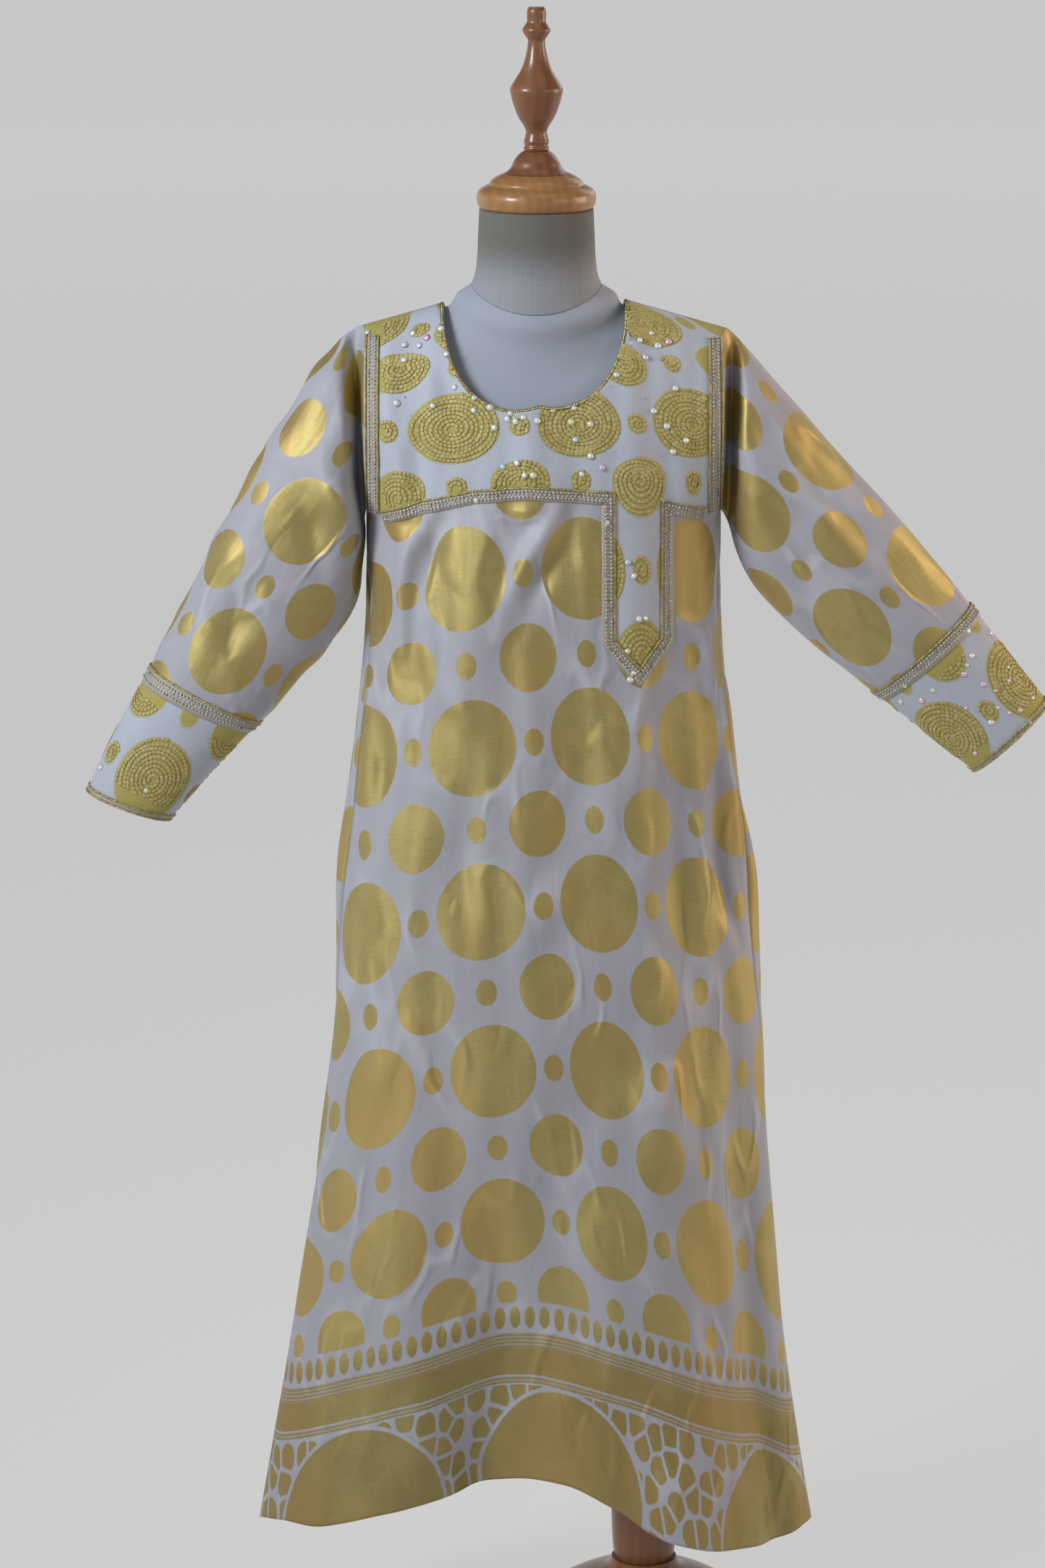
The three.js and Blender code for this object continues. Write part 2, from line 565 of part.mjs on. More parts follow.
// A point of the front's outer face by its place across and its height, with the way out from it.
function frontSpot(across, z) {
  const place = (a, height) => {
    if (height >= UNDERARM_Z)
      return chestPoint(FRONT, a, (height - UNDERARM_Z) / (shoulderZ(a) - UNDERARM_Z), 0);
    const sine = clamp((a - shiftAt(height)) / halfWidthAt(height), -1, 1);
    const angle = Math.asin(sine);
    const fold = foldDepth(FRONT, (angle * 180) / Math.PI, height, halfWidthAt(height));
    return new THREE.Vector3(a, -Math.cos(angle) * frontAt(height) - fold, height);
  };
  const here = place(across, z);
  const step = 2;
  const sideways = place(across + step, z).sub(place(across - step, z));
  const upwards = place(across, z + step).sub(place(across, z - step));
  return { here, out: sideways.cross(upwards).normalize() };
}

// The points along an outline, about a step apart, with the half-width's direction at each mitred corner.
function mitredPath(path) {
  const spots = [];
  for (let i = 0; i < path.length - 1; i += 1) {
    const from = new THREE.Vector2(path[i].across, path[i].z);
    const to = new THREE.Vector2(path[i + 1].across, path[i + 1].z);
    const pieces = Math.max(1, Math.round(from.distanceTo(to) / BRAID_STEP));
    for (let k = i === 0 ? 0 : 1; k <= pieces; k += 1) spots.push(from.clone().lerp(to, k / pieces));
  }
  return spots.map((spot, i) => {
    const before = spots[Math.max(i - 1, 0)];
    const after = spots[Math.min(i + 1, spots.length - 1)];
    const arriving = i > 0 ? spot.clone().sub(before).normalize() : after.clone().sub(spot).normalize();
    const leaving = i < spots.length - 1 ? after.clone().sub(spot).normalize() : arriving;
    const forward = arriving.clone().add(leaving).normalize();
    const mitre = 1 / Math.max(0.5, forward.dot(arriving));
    return { spot, side: new THREE.Vector2(-forward.y, forward.x).multiplyScalar(mitre) };
  });
}

// The braid that edges the yoke and its tab, moved out from the front's own points.
function yokeBraid() {
  const spots = mitredPath(YOKE_EDGE);
  const skin = (lift) => (column, row) => {
    const { spot, side } = spots[row];
    const sideways = BRAID_WIDTH * (column / BRAID_CELLS - 0.5);
    const { here, out } = frontSpot(spot.x + side.x * sideways, spot.y + side.y * sideways);
    return here.addScaledVector(out, lift);
  };
  const thick = BRAID_LIFT + BRAID_THICKNESS;
  return wallMesh("yoke_braid", skin(thick), skin(BRAID_LIFT), BRAID_CELLS, spots.length - 1, GOLD_BRAID);
}

// The braid along an armhole, from the shoulder line down to the yoke's corner.
function armholeBraid(name, side) {
  const seam = ARMHOLE_SHIFT + side * ARMHOLE_HALF_WIDTH;
  const { from, to, rows } = ARMHOLE_BRAID;
  const skin = (lift) => (column, row) => {
    const across = seam - side * (BRAID_SET_IN + (BRAID_WIDTH * column) / BRAID_CELLS);
    const up = blend(from, to, row / rows);
    const z = blend(UNDERARM_Z, shoulderZ(across), up);
    const { here, out } = frontSpot(across, z);
    return here.addScaledVector(out, lift);
  };
  return wallMesh(name, skin(BRAID_LIFT + BRAID_THICKNESS), skin(BRAID_LIFT), BRAID_CELLS, rows, GOLD_BRAID);
}

// The beaded piping round the neck, in the plane of the cloth, just inside its raw edge.
function neckPiping() {
  const points = 2 * NECK_COLUMNS;
  const edge = (index) => {
    const place = (index + points) % points;
    const panel = place <= NECK_COLUMNS ? FRONT : BACK;
    const turn = Math.PI * ((place % NECK_COLUMNS) / NECK_COLUMNS - 0.5);
    const atRight = place === NECK_COLUMNS;
    const { across, up } = neckEdge(panel, atRight ? Math.PI / 2 : turn * -panel.side);
    const spot = (a, share) => chestPoint(panel, a, Math.min(1, share), CLOTH / 2);
    const upwards = spot(across, up).sub(spot(across, up - 0.01));
    const sideways = spot(across + 1, up).sub(spot(across - 1, up));
    return { here: spot(across, up), out: sideways.cross(upwards).multiplyScalar(-panel.side).normalize() };
  };
  const rings = [];
  for (let i = 0; i < points; i += 1) {
    const { here, out } = edge(i);
    const along = edge(i + 1).here.sub(edge(i - 1).here).normalize();
    const inwards = along.clone().cross(out).multiplyScalar(-1).normalize();
    const middle = here.clone().addScaledVector(inwards, SEAM_GAP + PIPING_RADIUS);
    rings.push(Array.from({ length: PIPING_SIDES }, (_, k) => {
      const turn = (2 * Math.PI * k) / PIPING_SIDES;
      return middle.clone().addScaledVector(inwards, PIPING_RADIUS * Math.cos(turn))
        .addScaledVector(out, PIPING_RADIUS * Math.sin(turn));
    }));
  }
  const faces = [];
  for (let i = 0; i < points; i += 1)
    for (let k = 0; k < PIPING_SIDES; k += 1) {
      const next = (i + 1) % points;
      const turn = (k + 1) % PIPING_SIDES;
      const [a, b] = [i * PIPING_SIDES + k, i * PIPING_SIDES + turn];
      const [c, d] = [next * PIPING_SIDES + turn, next * PIPING_SIDES + k];
      faces.push([a, b, c], [a, c, d]);
    }
  return closedMesh("neck_binding", rings.flat(), faces, GOLD_BRAID, FORM_AXIS_X);
}

// ---------------------------------------------------------------- the dress form

function formRing({ halfWidth, front, back, sideZ, frontZ, backZ }, drop = 0) {
  return Array.from({ length: FORM_AROUND }, (_, step) => {
    const turn = (2 * Math.PI * step) / FORM_AROUND;
    const along = Math.cos(turn);
    const reach = along > 0 ? front : back;
    const endZ = along > 0 ? frontZ : backZ;
    const z = blend(sideZ, endZ, Math.abs(along) ** RING_TILT);
    return new THREE.Vector3(halfWidth * Math.sin(turn), -along * reach, z - drop);
  });
}

function torso() {
  const seamCentre = new THREE.Vector3(0, 0, FORM_RINGS[0].sideZ - SEAM_GAP);
  const rings = FORM_RINGS.map((ring) => formRing(ring, ring === FORM_RINGS[0] ? SEAM_GAP : 0));
  return stackMesh("form_torso", rings, seamCentre, new THREE.Vector3(0, 0, FORM_BOTTOM_Z), JERSEY);
}

function neck() {
  const seam = FORM_RINGS[0];
  const level = (z, halfWidth, depth) =>
    formRing({ halfWidth, front: depth, back: depth, sideZ: z, frontZ: z, backZ: z });
  const rings = [
    formRing(seam),
    formRing({ ...seam, halfWidth: 57.5, front: 56.5, back: 54.8, sideZ: 1343, frontZ: 1330, backZ: 1341 }),
    level(1360, 55.5, NECK_RADIUS),
    level(1382, NECK_RADIUS, NECK_RADIUS),
    level(NECK_TOP_Z, NECK_RADIUS - 1, NECK_RADIUS - 1),
  ];
  const bottom = new THREE.Vector3(0, 0, seam.sideZ);
  return stackMesh("form_neck", rings, bottom, new THREE.Vector3(0, 0, NECK_TOP_Z), LINEN);
}

// ---------------------------------------------------------------- assembly

const garment = new THREE.Group();
garment.add(
  bodyPanel("front_panel", FRONT),
  bodyPanel("back_panel", BACK),
  sleeve("sleeve_left", SLEEVE_LEFT, -1),
  sleeve("sleeve_right", SLEEVE_RIGHT, 1),
  neckPiping(),
  armholeBraid("armhole_braid_left", -1),
  armholeBraid("armhole_braid_right", 1),
  yokeBraid(),
);
for (const { name, sections, side, braid } of [
  { name: "left", sections: SLEEVE_LEFT, side: -1, braid: CUFF_BRAID_LEFT },
  { name: "right", sections: SLEEVE_RIGHT, side: 1, braid: CUFF_BRAID_RIGHT },
]) {
  const mouth = sections.length - 1;
  garment.add(
    sleeveBraid(`cuff_braid_${name}`, sections, side, braid.from, braid.to),
    sleeveBraid(`cuff_edge_${name}`, sections, side, mouth - CUFF_EDGE_LENGTH, mouth),
  );
}

const dressForm = new THREE.Group();
dressForm.add(
  torso(),
  neck(),
  turnedMesh("neck_cap", NECK_CAP_PROFILE, AMBER_WOOD, FORM_AXIS_X + FORM_LEAN_X),
  turnedMesh("finial_collar", FINIAL_COLLAR_PROFILE, RED_WOOD, FORM_AXIS_X + FORM_LEAN_X),
  turnedMesh("finial", FINIAL_PROFILE, RED_WOOD, FORM_AXIS_X + FORM_LEAN_X),
  turnedMesh("post", POST_PROFILE, RED_WOOD, 0),
  turnedMesh("foot", FOOT_PROFILE, RED_WOOD, 0),
);

const part = new THREE.Group();
part.add(garment, dressForm);
part.position.z = DATUM_Z;
export default part;
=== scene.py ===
"""A child's brocade thobe on a turned-wood dress form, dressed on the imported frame.

Tables are in millimetres: across from the form's axis, and up from a level DATUM_Z above the floor, as the
frame's own nodes are built. Meshes and finishes are in metres.
"""

import logging
import math
from dataclasses import dataclass, replace
from enum import Enum
from typing import Callable, Optional, Sequence, Union

import bpy
import numpy as np
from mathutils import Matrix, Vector
from mathutils.bvhtree import BVHTree
from mathutils.interpolate import poly_3d_calc

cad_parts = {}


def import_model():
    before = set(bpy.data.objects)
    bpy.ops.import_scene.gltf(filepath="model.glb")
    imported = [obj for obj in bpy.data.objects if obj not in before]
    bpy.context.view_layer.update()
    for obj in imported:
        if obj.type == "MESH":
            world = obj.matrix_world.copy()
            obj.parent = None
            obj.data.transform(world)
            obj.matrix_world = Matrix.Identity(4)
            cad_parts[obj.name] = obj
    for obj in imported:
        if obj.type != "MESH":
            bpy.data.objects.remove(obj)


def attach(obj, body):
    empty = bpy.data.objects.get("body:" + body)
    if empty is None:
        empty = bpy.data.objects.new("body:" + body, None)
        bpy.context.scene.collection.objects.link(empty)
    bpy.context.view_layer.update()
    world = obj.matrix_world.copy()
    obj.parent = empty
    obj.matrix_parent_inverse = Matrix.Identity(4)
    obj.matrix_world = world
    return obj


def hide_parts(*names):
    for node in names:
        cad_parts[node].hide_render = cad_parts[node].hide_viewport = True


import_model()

LOG = logging.getLogger("thobe")
MM = 0.001
FORM_AXIS_X = -105.0
FORM_LEAN_X = -3.0
DATUM_Z = 22.0
BODY = "root"
Array = np.ndarray
Rows = Sequence[Sequence[float]]


# ------------------------------------------------------------------ numbers


class Curve:
    """A smooth curve through a table's points, flat beyond its ends."""

    def __init__(self, at: Sequence[float], values: Sequence[float]) -> None:
        """Keep the points and work out the slope at each.

        Args:
            at: Rising places of the points.
            values: The value at each place.
        """
        self.at = np.asarray(at, float)
        self.values = np.asarray(values, float)
        last = len(self.at) - 1
        before = np.maximum(np.arange(last + 1) - 1, 0)
        after = np.minimum(np.arange(last + 1) + 1, last)
        rise = self.values[after] - self.values[before]
        self.slopes = rise / (self.at[after] - self.at[before])

    def __call__(self, place: Union[float, Array]) -> Array:
        """Value of the curve.

        Args:
            place: One place or an array of them.

        Returns:
            The curve's value at each place.
        """
        x = np.clip(place, self.at[0], self.at[-1])
        i = np.clip(np.searchsorted(self.at[1:], x), 0, len(self.at) - 2)
        span = self.at[i + 1] - self.at[i]
        t = (x - self.at[i]) / span
        rest = 1 - t
        start = self.values[i] * (1 + 2 * t) + self.slopes[i] * span * t
        end = self.values[i + 1] * (3 - 2 * t) - self.slopes[i + 1] * span * rest
        return start * rest * rest + end * t * t


def columns(rows: Rows, along: int = 0) -> list[Curve]:
    """Curves through every column of a table.

    Args:
        rows: The table's rows.
        along: The column that holds the places.

    Returns:
        One curve for each column after the first, in order.
    """
    data = np.asarray(rows, float)
    return [Curve(data[:, along], data[:, k]) for k in range(data.shape[1]) if k != along]


def blend(low: Union[float, Array], high: Union[float, Array], share: Union[float, Array]) -> Array:
    """Value a share of the way from low to high."""
    return low + (np.asarray(high) - low) * share


def soft_step(x: Array, low: float, high: float) -> Array:
    """Smooth rise from 0 at low to 1 at high."""
    t = np.clip((x - low) / (high - low), 0, 1)
    return t * t * (3 - 2 * t)


def oval(share: Array, point: Union[float, Array]) -> Array:
    """Half-breadth of an oval, from 0 at its ends to 1 in its middle."""
    return np.maximum(0, 4 * share * (1 - share)) ** point


def unit(vectors: Array) -> Array:
    """The vectors at length 1."""
    return vectors / np.maximum(np.linalg.norm(vectors, axis=-1, keepdims=True), 1e-9)


def world(points: Array) -> Array:
    """Table points, in millimetres, as places in the frame, in metres."""
    return (points + np.array([FORM_AXIS_X, 0.0, DATUM_Z])) * MM


# ------------------------------------------------------------------ meshes


def linked(name: str, data: bpy.types.ID) -> bpy.types.Object:
    """A new object that holds the data, linked to the scene."""
    piece = bpy.data.objects.new(name, data)
    bpy.context.scene.collection.objects.link(piece)
    return piece


def make_lines(name: str, points: Array, edges: Sequence[tuple[int, int]] = ()) -> bpy.types.Object:
    """An object of loose points and edges, for a node tree to work on."""
    mesh = bpy.data.meshes.new(name)
    mesh.from_pydata(points.tolist(), list(edges), [])
    return linked(name, mesh)


def make_mesh(name: str, points: Array, faces: Sequence[Sequence[int]]) -> bpy.types.Object:
    """A smooth mesh object at the origin.

    Args:
        name: The piece's name.
        points: Vertex places in the frame, in metres.
        faces: Vertex numbers of each face.

    Returns:
        The new object, linked to the scene.
    """
    mesh = bpy.data.meshes.new(name)
    mesh.from_pydata(points.tolist(), [], faces)
    mesh.polygons.foreach_set("use_smooth", [True] * len(mesh.polygons))
    mesh.update()
    return linked(name, mesh)


def grid_faces(wide: int, high: int, closed: bool = False, flip: bool = False) -> list[tuple[int, ...]]:
    """Faces of a grid of points, row by row.

    Args:
        wide: Points in a row.
        high: Number of rows.
        closed: Whether each row's last point joins its first.
        flip: Whether the faces are turned over.

    Returns:
        The vertex numbers of each four-sided face.
    """
    faces = []
    for row in range(high - 1):
        for k in range(wide if closed else wide - 1):
            after = (k + 1) % wide
            corners = (row * wide + k, row * wide + after, (row + 1) * wide + after, (row + 1) * wide + k)
            faces.append(corners[::-1] if flip else corners)
    return faces


def set_uv(piece: bpy.types.Object, name: str, corner_uv: Array) -> None:
    """Give a mesh a UV map from one pair of numbers for each face corner."""
    layer = piece.data.uv_layers.new(name=name)
    layer.data.foreach_set("uv", np.asarray(corner_uv, np.float32).ravel())


def set_share(piece: bpy.types.Object, name: str, values: Array, vector: bool = False) -> None:
    """Give a mesh's points a named number or vector.

    Args:
        piece: The mesh object.
        name: The attribute's name.
        values: One number, or one row of three, for each vertex.
        vector: Whether the values are vectors.
    """
    kind = "FLOAT_VECTOR" if vector else "FLOAT"
    attribute = piece.data.attributes.new(name, kind, "POINT")
    attribute.data.foreach_set("vector" if vector else "value", np.asarray(values, np.float32).ravel())


def thicken(piece: bpy.types.Object, wall: float, inner_slot: int = 0) -> None:
    """Give a sheet its wall, inwards from its outer face.

    Args:
        piece: The sheet.
        wall: The wall's thickness in metres.
        inner_slot: How many material slots further on the inner face's finish is.
    """
    solid = piece.modifiers.new("wall", "SOLIDIFY")
    solid.thickness = wall
    solid.offset = -1.0
    solid.use_even_offset = False
    solid.material_offset = inner_slot


def settle(piece: bpy.types.Object) -> bpy.types.Object:
    """Turn a piece's live modifiers into a plain mesh.

    Args:
        piece: The object with modifiers.

    Returns:
        The same object with its result as its own mesh.
    """
    graph = bpy.context.evaluated_depsgraph_get()
    mesh = bpy.data.meshes.new_from_object(piece.evaluated_get(graph))
    piece.modifiers.clear()
    piece.data = mesh
    return piece


def finished(piece: bpy.types.Object, slot: str, *nodes: str) -> bpy.types.Object:
    """Hand a finished piece to the frame.

    Args:
        piece: The piece.
        slot: The record's material slot; not used.
        nodes: The frame's nodes that it stands for.

    Returns:
        The piece.
    """
    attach(piece, BODY)
    if nodes:
        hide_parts(*nodes)
    LOG.info("%s: %d faces, for %s", piece.name, len(piece.data.polygons), ", ".join(nodes) or "trim")
    return piece


# ------------------------------------------------------------------ node trees

Socket = bpy.types.NodeSocket
Number = Union["Value", float, int]
Triple = tuple[float, float, float]


class Graph:
    """Adds nodes to one tree."""

    def __init__(self, tree: bpy.types.NodeTree) -> None:
        """Keep the tree and clear it."""
        self.tree = tree
        tree.nodes.clear()

    def node(self, kind: str, settings: Optional[dict] = None,
             inputs: Optional[dict] = None) -> bpy.types.Node:
        """Add one node.

        Args:
            kind: The node's type.
            settings: Its own settings, set first; "stops" holds a ramp's places and colours.
            inputs: A value or a link for each socket, by name, identifier or number.

        Returns:
            The node.
        """
        made = self.tree.nodes.new(kind)
        for name, value in (settings or {}).items():
            if name == "stops":
                ramp = made.color_ramp.elements
                while len(ramp) < len(value):
                    ramp.new(0.5)
                for element, (place, colour) in zip(ramp, value):
                    element.position = place
                    element.color = (*colour, 1.0)
            else:
                setattr(made, name, value)
        for key, value in (inputs or {}).items():
            socket = self.find(made.inputs, key)
            source = value.socket if isinstance(value, Value) else value
            if isinstance(source, Socket):
                self.tree.links.new(source, socket)
            elif isinstance(source, tuple) and len(source) == 3 and socket.type == "RGBA":
                socket.default_value = (*source, 1.0)
            else:
                socket.default_value = source
        return made

    def out(self, kind: str, inputs: Optional[dict] = None, **settings: object) -> Socket:
        """The first output of a new node."""
        return self.node(kind, settings, inputs).outputs[0]

    @staticmethod
    def find(sockets: Sequence[Socket], key: Union[str, int]) -> Socket:
        """A socket by its number, its identifier or its name."""
        if isinstance(key, int):
            return sockets[key]
        exact = [s for s in sockets if s.identifier == key]
        named = [s for s in sockets if s.name == key and s.enabled]
        return (exact or named)[0]

    def math(self, operation: str, *numbers: Number) -> "Value":
        """A Math node on up to three numbers."""
        return Value(self, self.out("ShaderNodeMath", dict(enumerate(numbers)), operation=operation))

    def vector(self, operation: str, *vectors: object, out: int = 0) -> Socket:
        """A Vector Math node; out 1 is its number."""
        made = self.node("ShaderNodeVectorMath", {"operation": operation}, dict(enumerate(vectors)))
        return made.outputs[out]

    def mix(self, low: object, high: object, share: Number) -> Socket:
        """A colour a share of the way from low to high."""
        inputs = {"Factor_Float": share, "A_Color": low, "B_Color": high}
        made = self.node("ShaderNodeMix", {"data_type": "RGBA"}, inputs)
        return self.find(made.outputs, "Result_Color")

    def scale_colour(self, colour: object, share: Number) -> Socket:
        """A colour made darker or lighter by a number."""
        grey = self.out("ShaderNodeCombineColor", {0: share, 1: share, 2: share})
        inputs = {"Factor_Float": 1.0, "A_Color": colour, "B_Color": grey}
        made = self.node("ShaderNodeMix", {"data_type": "RGBA", "blend_type": "MULTIPLY"}, inputs)
        return self.find(made.outputs, "Result_Color")

    def rise(self, value: Number, low: float, high: float) -> "Value":
        """Smooth rise from 0 at low to 1 at high."""
        inputs = {"Value": value, "From Min": low, "From Max": high}
        return Value(self, self.out("ShaderNodeMapRange", inputs, interpolation_type="SMOOTHSTEP"))

    def noise(self, place: object, scale: float, detail: float = 2.0, rough: float = 0.5) -> "Value":
        """Noise from 0 to 1 at a place."""
        inputs = {"Vector": place, "Scale": scale, "Detail": detail, "Roughness": rough}
        return Value(self, self.node("ShaderNodeTexNoise", {}, inputs).outputs["Fac"])

    def attribute(self, name: str) -> "Value":
        """A named number of the surface."""
        made = self.node("ShaderNodeAttribute", {"attribute_name": name})
        return Value(self, made.outputs["Fac"])

    def split(self, place: object) -> list["Value"]:
        """A vector's three numbers."""
        made = self.node("ShaderNodeSeparateXYZ", {}, {0: place})
        return [Value(self, socket) for socket in made.outputs]

    def join(self, x: Number, y: Number, z: Number = 0.0) -> Socket:
        """A vector from three numbers."""
        return self.out("ShaderNodeCombineXYZ", {0: x, 1: y, 2: z})


class Value:
    """A number on a socket. An expression on values adds its Math nodes."""

    def __init__(self, graph: Graph, socket: Socket) -> None:
        """Keep the tree's graph and the socket."""
        self.graph = graph
        self.socket = socket

    def __add__(self, other: Number) -> "Value":
        """The sum."""
        return self.graph.math("ADD", self, other)

    def __sub__(self, other: Number) -> "Value":
        """The difference."""
        return self.graph.math("SUBTRACT", self, other)

    def __mul__(self, other: Number) -> "Value":
        """The product."""
        return self.graph.math("MULTIPLY", self, other)

    def __truediv__(self, other: Number) -> "Value":
        """The quotient."""
        return self.graph.math("DIVIDE", self, other)

    def __rsub__(self, other: Number) -> "Value":
        """The difference, from a plain number."""
        return self.graph.math("SUBTRACT", other, self)

    __radd__ = __add__
    __rmul__ = __mul__

    def most(self, other: Number) -> "Value":
        """The greater of the two."""
        return self.graph.math("MAXIMUM", self, other)

    def above(self, other: Number) -> "Value":
        """1 where this is the greater, otherwise 0."""
        return self.graph.math("GREATER_THAN", self, other)

    def sine(self) -> "Value":
        """The sine."""
        return self.graph.math("SINE", self)

    def size(self) -> "Value":
        """The number without its sign."""
        return self.graph.math("ABSOLUTE", self)


def new_material(name: str) -> tuple[bpy.types.Material, Graph]:
    """A material with an empty tree."""
    material = bpy.data.materials.new(name)
    material.use_nodes = True
    return material, Graph(material.node_tree)


def close_material(graph: Graph, inputs: dict, height: Optional[Number] = None,
                   bump: float = 0.5) -> None:
    """Add the surface's shader and the output.

    Args:
        graph: The material's graph.
        inputs: Values and links of the shader's sockets.
        height: Relief of the surface, in millimetres.
        bump: How strongly the relief shows.
    """
    if height is not None:
        relief = graph.node("ShaderNodeBump", {}, {"Strength": bump, "Distance": MM, "Height": height})
        inputs = {**inputs, "Normal": relief.outputs["Normal"]}
    shader = graph.node("ShaderNodeBsdfPrincipled", {}, inputs)
    graph.node("ShaderNodeOutputMaterial", {}, {"Surface": shader.outputs[0]})


# ------------------------------------------------------------------ finishes


class Face(Enum):
    """The side of the brocade that a finish is for."""

    RIGHT = "right"
    WRONG = "wrong"


@dataclass(frozen=True)
class Brocade:
    """Figured brocade: discs of gold weft in staggered rows on a pale satin ground, with a woven border.

    The cloth's UV map is in metres: across, and up from the middle of the border's row of leaves.
    The attribute "embroidered" is 1 where discs are worked over in chain stitch.

    Attributes:
        across: Width of one repeat.
        along: Length of one repeat.
        first_row: Place along of a row of big discs.
        big: Half-width and half-height of the big discs.
        medium: The same of the medium ones.
        small: The same of the small ones.
        leaf: Step, half-width and half-height of the border's leaves.
        rows: Low and high edge of the border's striped bands, and of the broad one between them.
        stripe: Step of the stripes in the upper and the lower band.
        arch: Half-width and half-height of the big arches, and their middles' depth.
        arch_step: Distance between the arches on the left, and how much more it is on the right.
        pebble: Width and height of the cells between the arches.
        weave: Step of the gold's ribs, of the ground's twill and of the rings of chain stitch.
        ground: Colour of the satin; the rest are its own and the gold's in their different states, where the
            browner gold is a painted reflection laid in patches.
    """

    across: float = 0.120
    along: float = 0.156
    first_row: float = 0.7285
    big: tuple[float, float] = (0.0425, 0.0460)
    medium: tuple[float, float] = (0.0285, 0.0315)
    small: tuple[float, float] = (0.0100, 0.0130)
    leaf: Triple = (0.0152, 0.0054, 0.0115)
    rows: tuple[tuple[float, float], ...] = ((-0.0315, -0.0160), (-0.0690, -0.0615), (-0.0600, -0.0315))
    stripe: tuple[float, float] = (0.0039, 0.0038)
    arch: Triple = (0.0920, 0.100, 0.172)
    arch_step: tuple[float, float] = (0.229, 0.052)
    pebble: tuple[float, float] = (0.0200, 0.0300)
    weave: Triple = (0.0011, 0.0009, 0.0017)
    ground: Triple = (0.45, 0.45, 0.51)
    ground_worked: Triple = (0.525, 0.565, 0.655)
    gold: Triple = (0.56, 0.47, 0.19)
    gold_dull: Triple = (0.44, 0.35, 0.13)
    gold_painted_reflection: Triple = (0.58, 0.41, 0.15)
    gold_worked: Triple = (0.50, 0.44, 0.13)

    def kinds(self) -> tuple[tuple[tuple[float, float], tuple[float, float]], ...]:
        """Each kind of disc: its place in the repeat, and its half-width and half-height."""
        return (((0.0, 0.0), self.big), ((0.5, 0.5), self.medium), ((0.5, 0.0), self.small),
                ((0.0, 0.5), self.small))

    def figures(self, low: tuple[float, float], high: tuple[float, float]) -> list[tuple[float, ...]]:
        """The discs whose middles lie in a window of the flat cloth.

        Args:
            low: Least place across and along, in metres.
            high: Greatest place across and along.

        Returns:
            Place across, place along, half-width and half-height of each.
        """
        found = []
        for centre, radii in self.kinds():
            for i in range(-12, 13):
                for j in range(-12, 13):
                    u = (i + centre[0] - 0.5) * self.across
                    v = self.first_row + (j + centre[1]) * self.along
                    if low[0] < u < high[0] and low[1] < v < high[1]:
                        found.append((u, v, *radii))
        return found

    def reach(self, graph: Graph, place: Socket, centre: tuple[float, float],
              radii: tuple[float, float]) -> Value:
        """How far out a place is in the nearest disc of one kind.

        Args:
            graph: The material's graph.
            place: The place counted in repeats.
            centre: The disc's place in the repeat.
            radii: Its half-width and half-height in metres.

        Returns:
            0 at the disc's middle and 1 at its edge.
        """
        moved = graph.vector("SUBTRACT", place, (centre[0] - 0.5, centre[1] - 0.5, 0.0))
        local = graph.vector("SUBTRACT", graph.vector("FRACTION", moved), (0.5, 0.5, 0.0))
        stretch = (self.across / radii[0], self.along / radii[1], 0.0)
        return Value(graph, graph.vector("LENGTH", graph.vector("MULTIPLY", local, stretch), out=1))

    def border(self, graph: Graph, u: Value, v: Value) -> Value:
        """Gold of the woven border, from the leaves down to the hem."""
        step, wide, high = self.leaf
        leaf = graph.vector("SUBTRACT", graph.vector("FRACTION", graph.join(u / step, 0.5)),
                            (0.5, 0.5, 0.0))
        lx, ly = graph.split(leaf)[0] * (step / wide), v / high
        gold = 1 - graph.rise(graph.math("SQRT", lx * lx + ly * ly), 0.90, 1.10)
        for edges, stripe, bar in zip(self.rows, self.stripe, (0.0, 0.1)):
            lines = (v * (2 * math.pi / stripe)).sine().above(bar) * 0.55 + 0.45
            gold = gold.most(self.band(graph, v, *edges) * lines)
        gold = gold.most(self.band(graph, v, *self.rows[2]))
        wide, high, deep = self.arch
        spread = u.above(0.0) * self.arch_step[1] + self.arch_step[0]
        turn = graph.vector("FRACTION", graph.join(u / spread + 0.5, 0.5))
        ax = (graph.split(turn)[0] - 0.5) * spread / wide
        ay = (v + deep) / high
        arch = graph.math("SQRT", ax * ax + ay * ay)
        arches = 1 - graph.rise(arch, 0.985, 1.0)
        cells = {"Vector": graph.join(u / self.pebble[0], v / self.pebble[1]), "Scale": 1.0,
                 "Randomness": 0.6}
        edge, middle = (graph.node("ShaderNodeTexVoronoi", {"feature": kind, "voronoi_dimensions": "2D"},
                                   cells)
                        for kind in ("DISTANCE_TO_EDGE", "F1"))
        pebbles = graph.rise(Value(graph, edge.outputs["Distance"]), 0.05, 0.11)
        pebbles = pebbles * (1 - graph.rise(Value(graph, middle.outputs["Distance"]), 0.47, 0.54))
        pebbles = pebbles * graph.rise(arch, 1.030, 1.045)
        return gold.most(arches.most(pebbles) * self.band(graph, v, -0.60, -0.0705))

    @staticmethod
    def band(graph: Graph, v: Value, low: float, high: float) -> Value:
        """1 between two places along the cloth."""
        return v.above(low) * (1 - v.above(high))

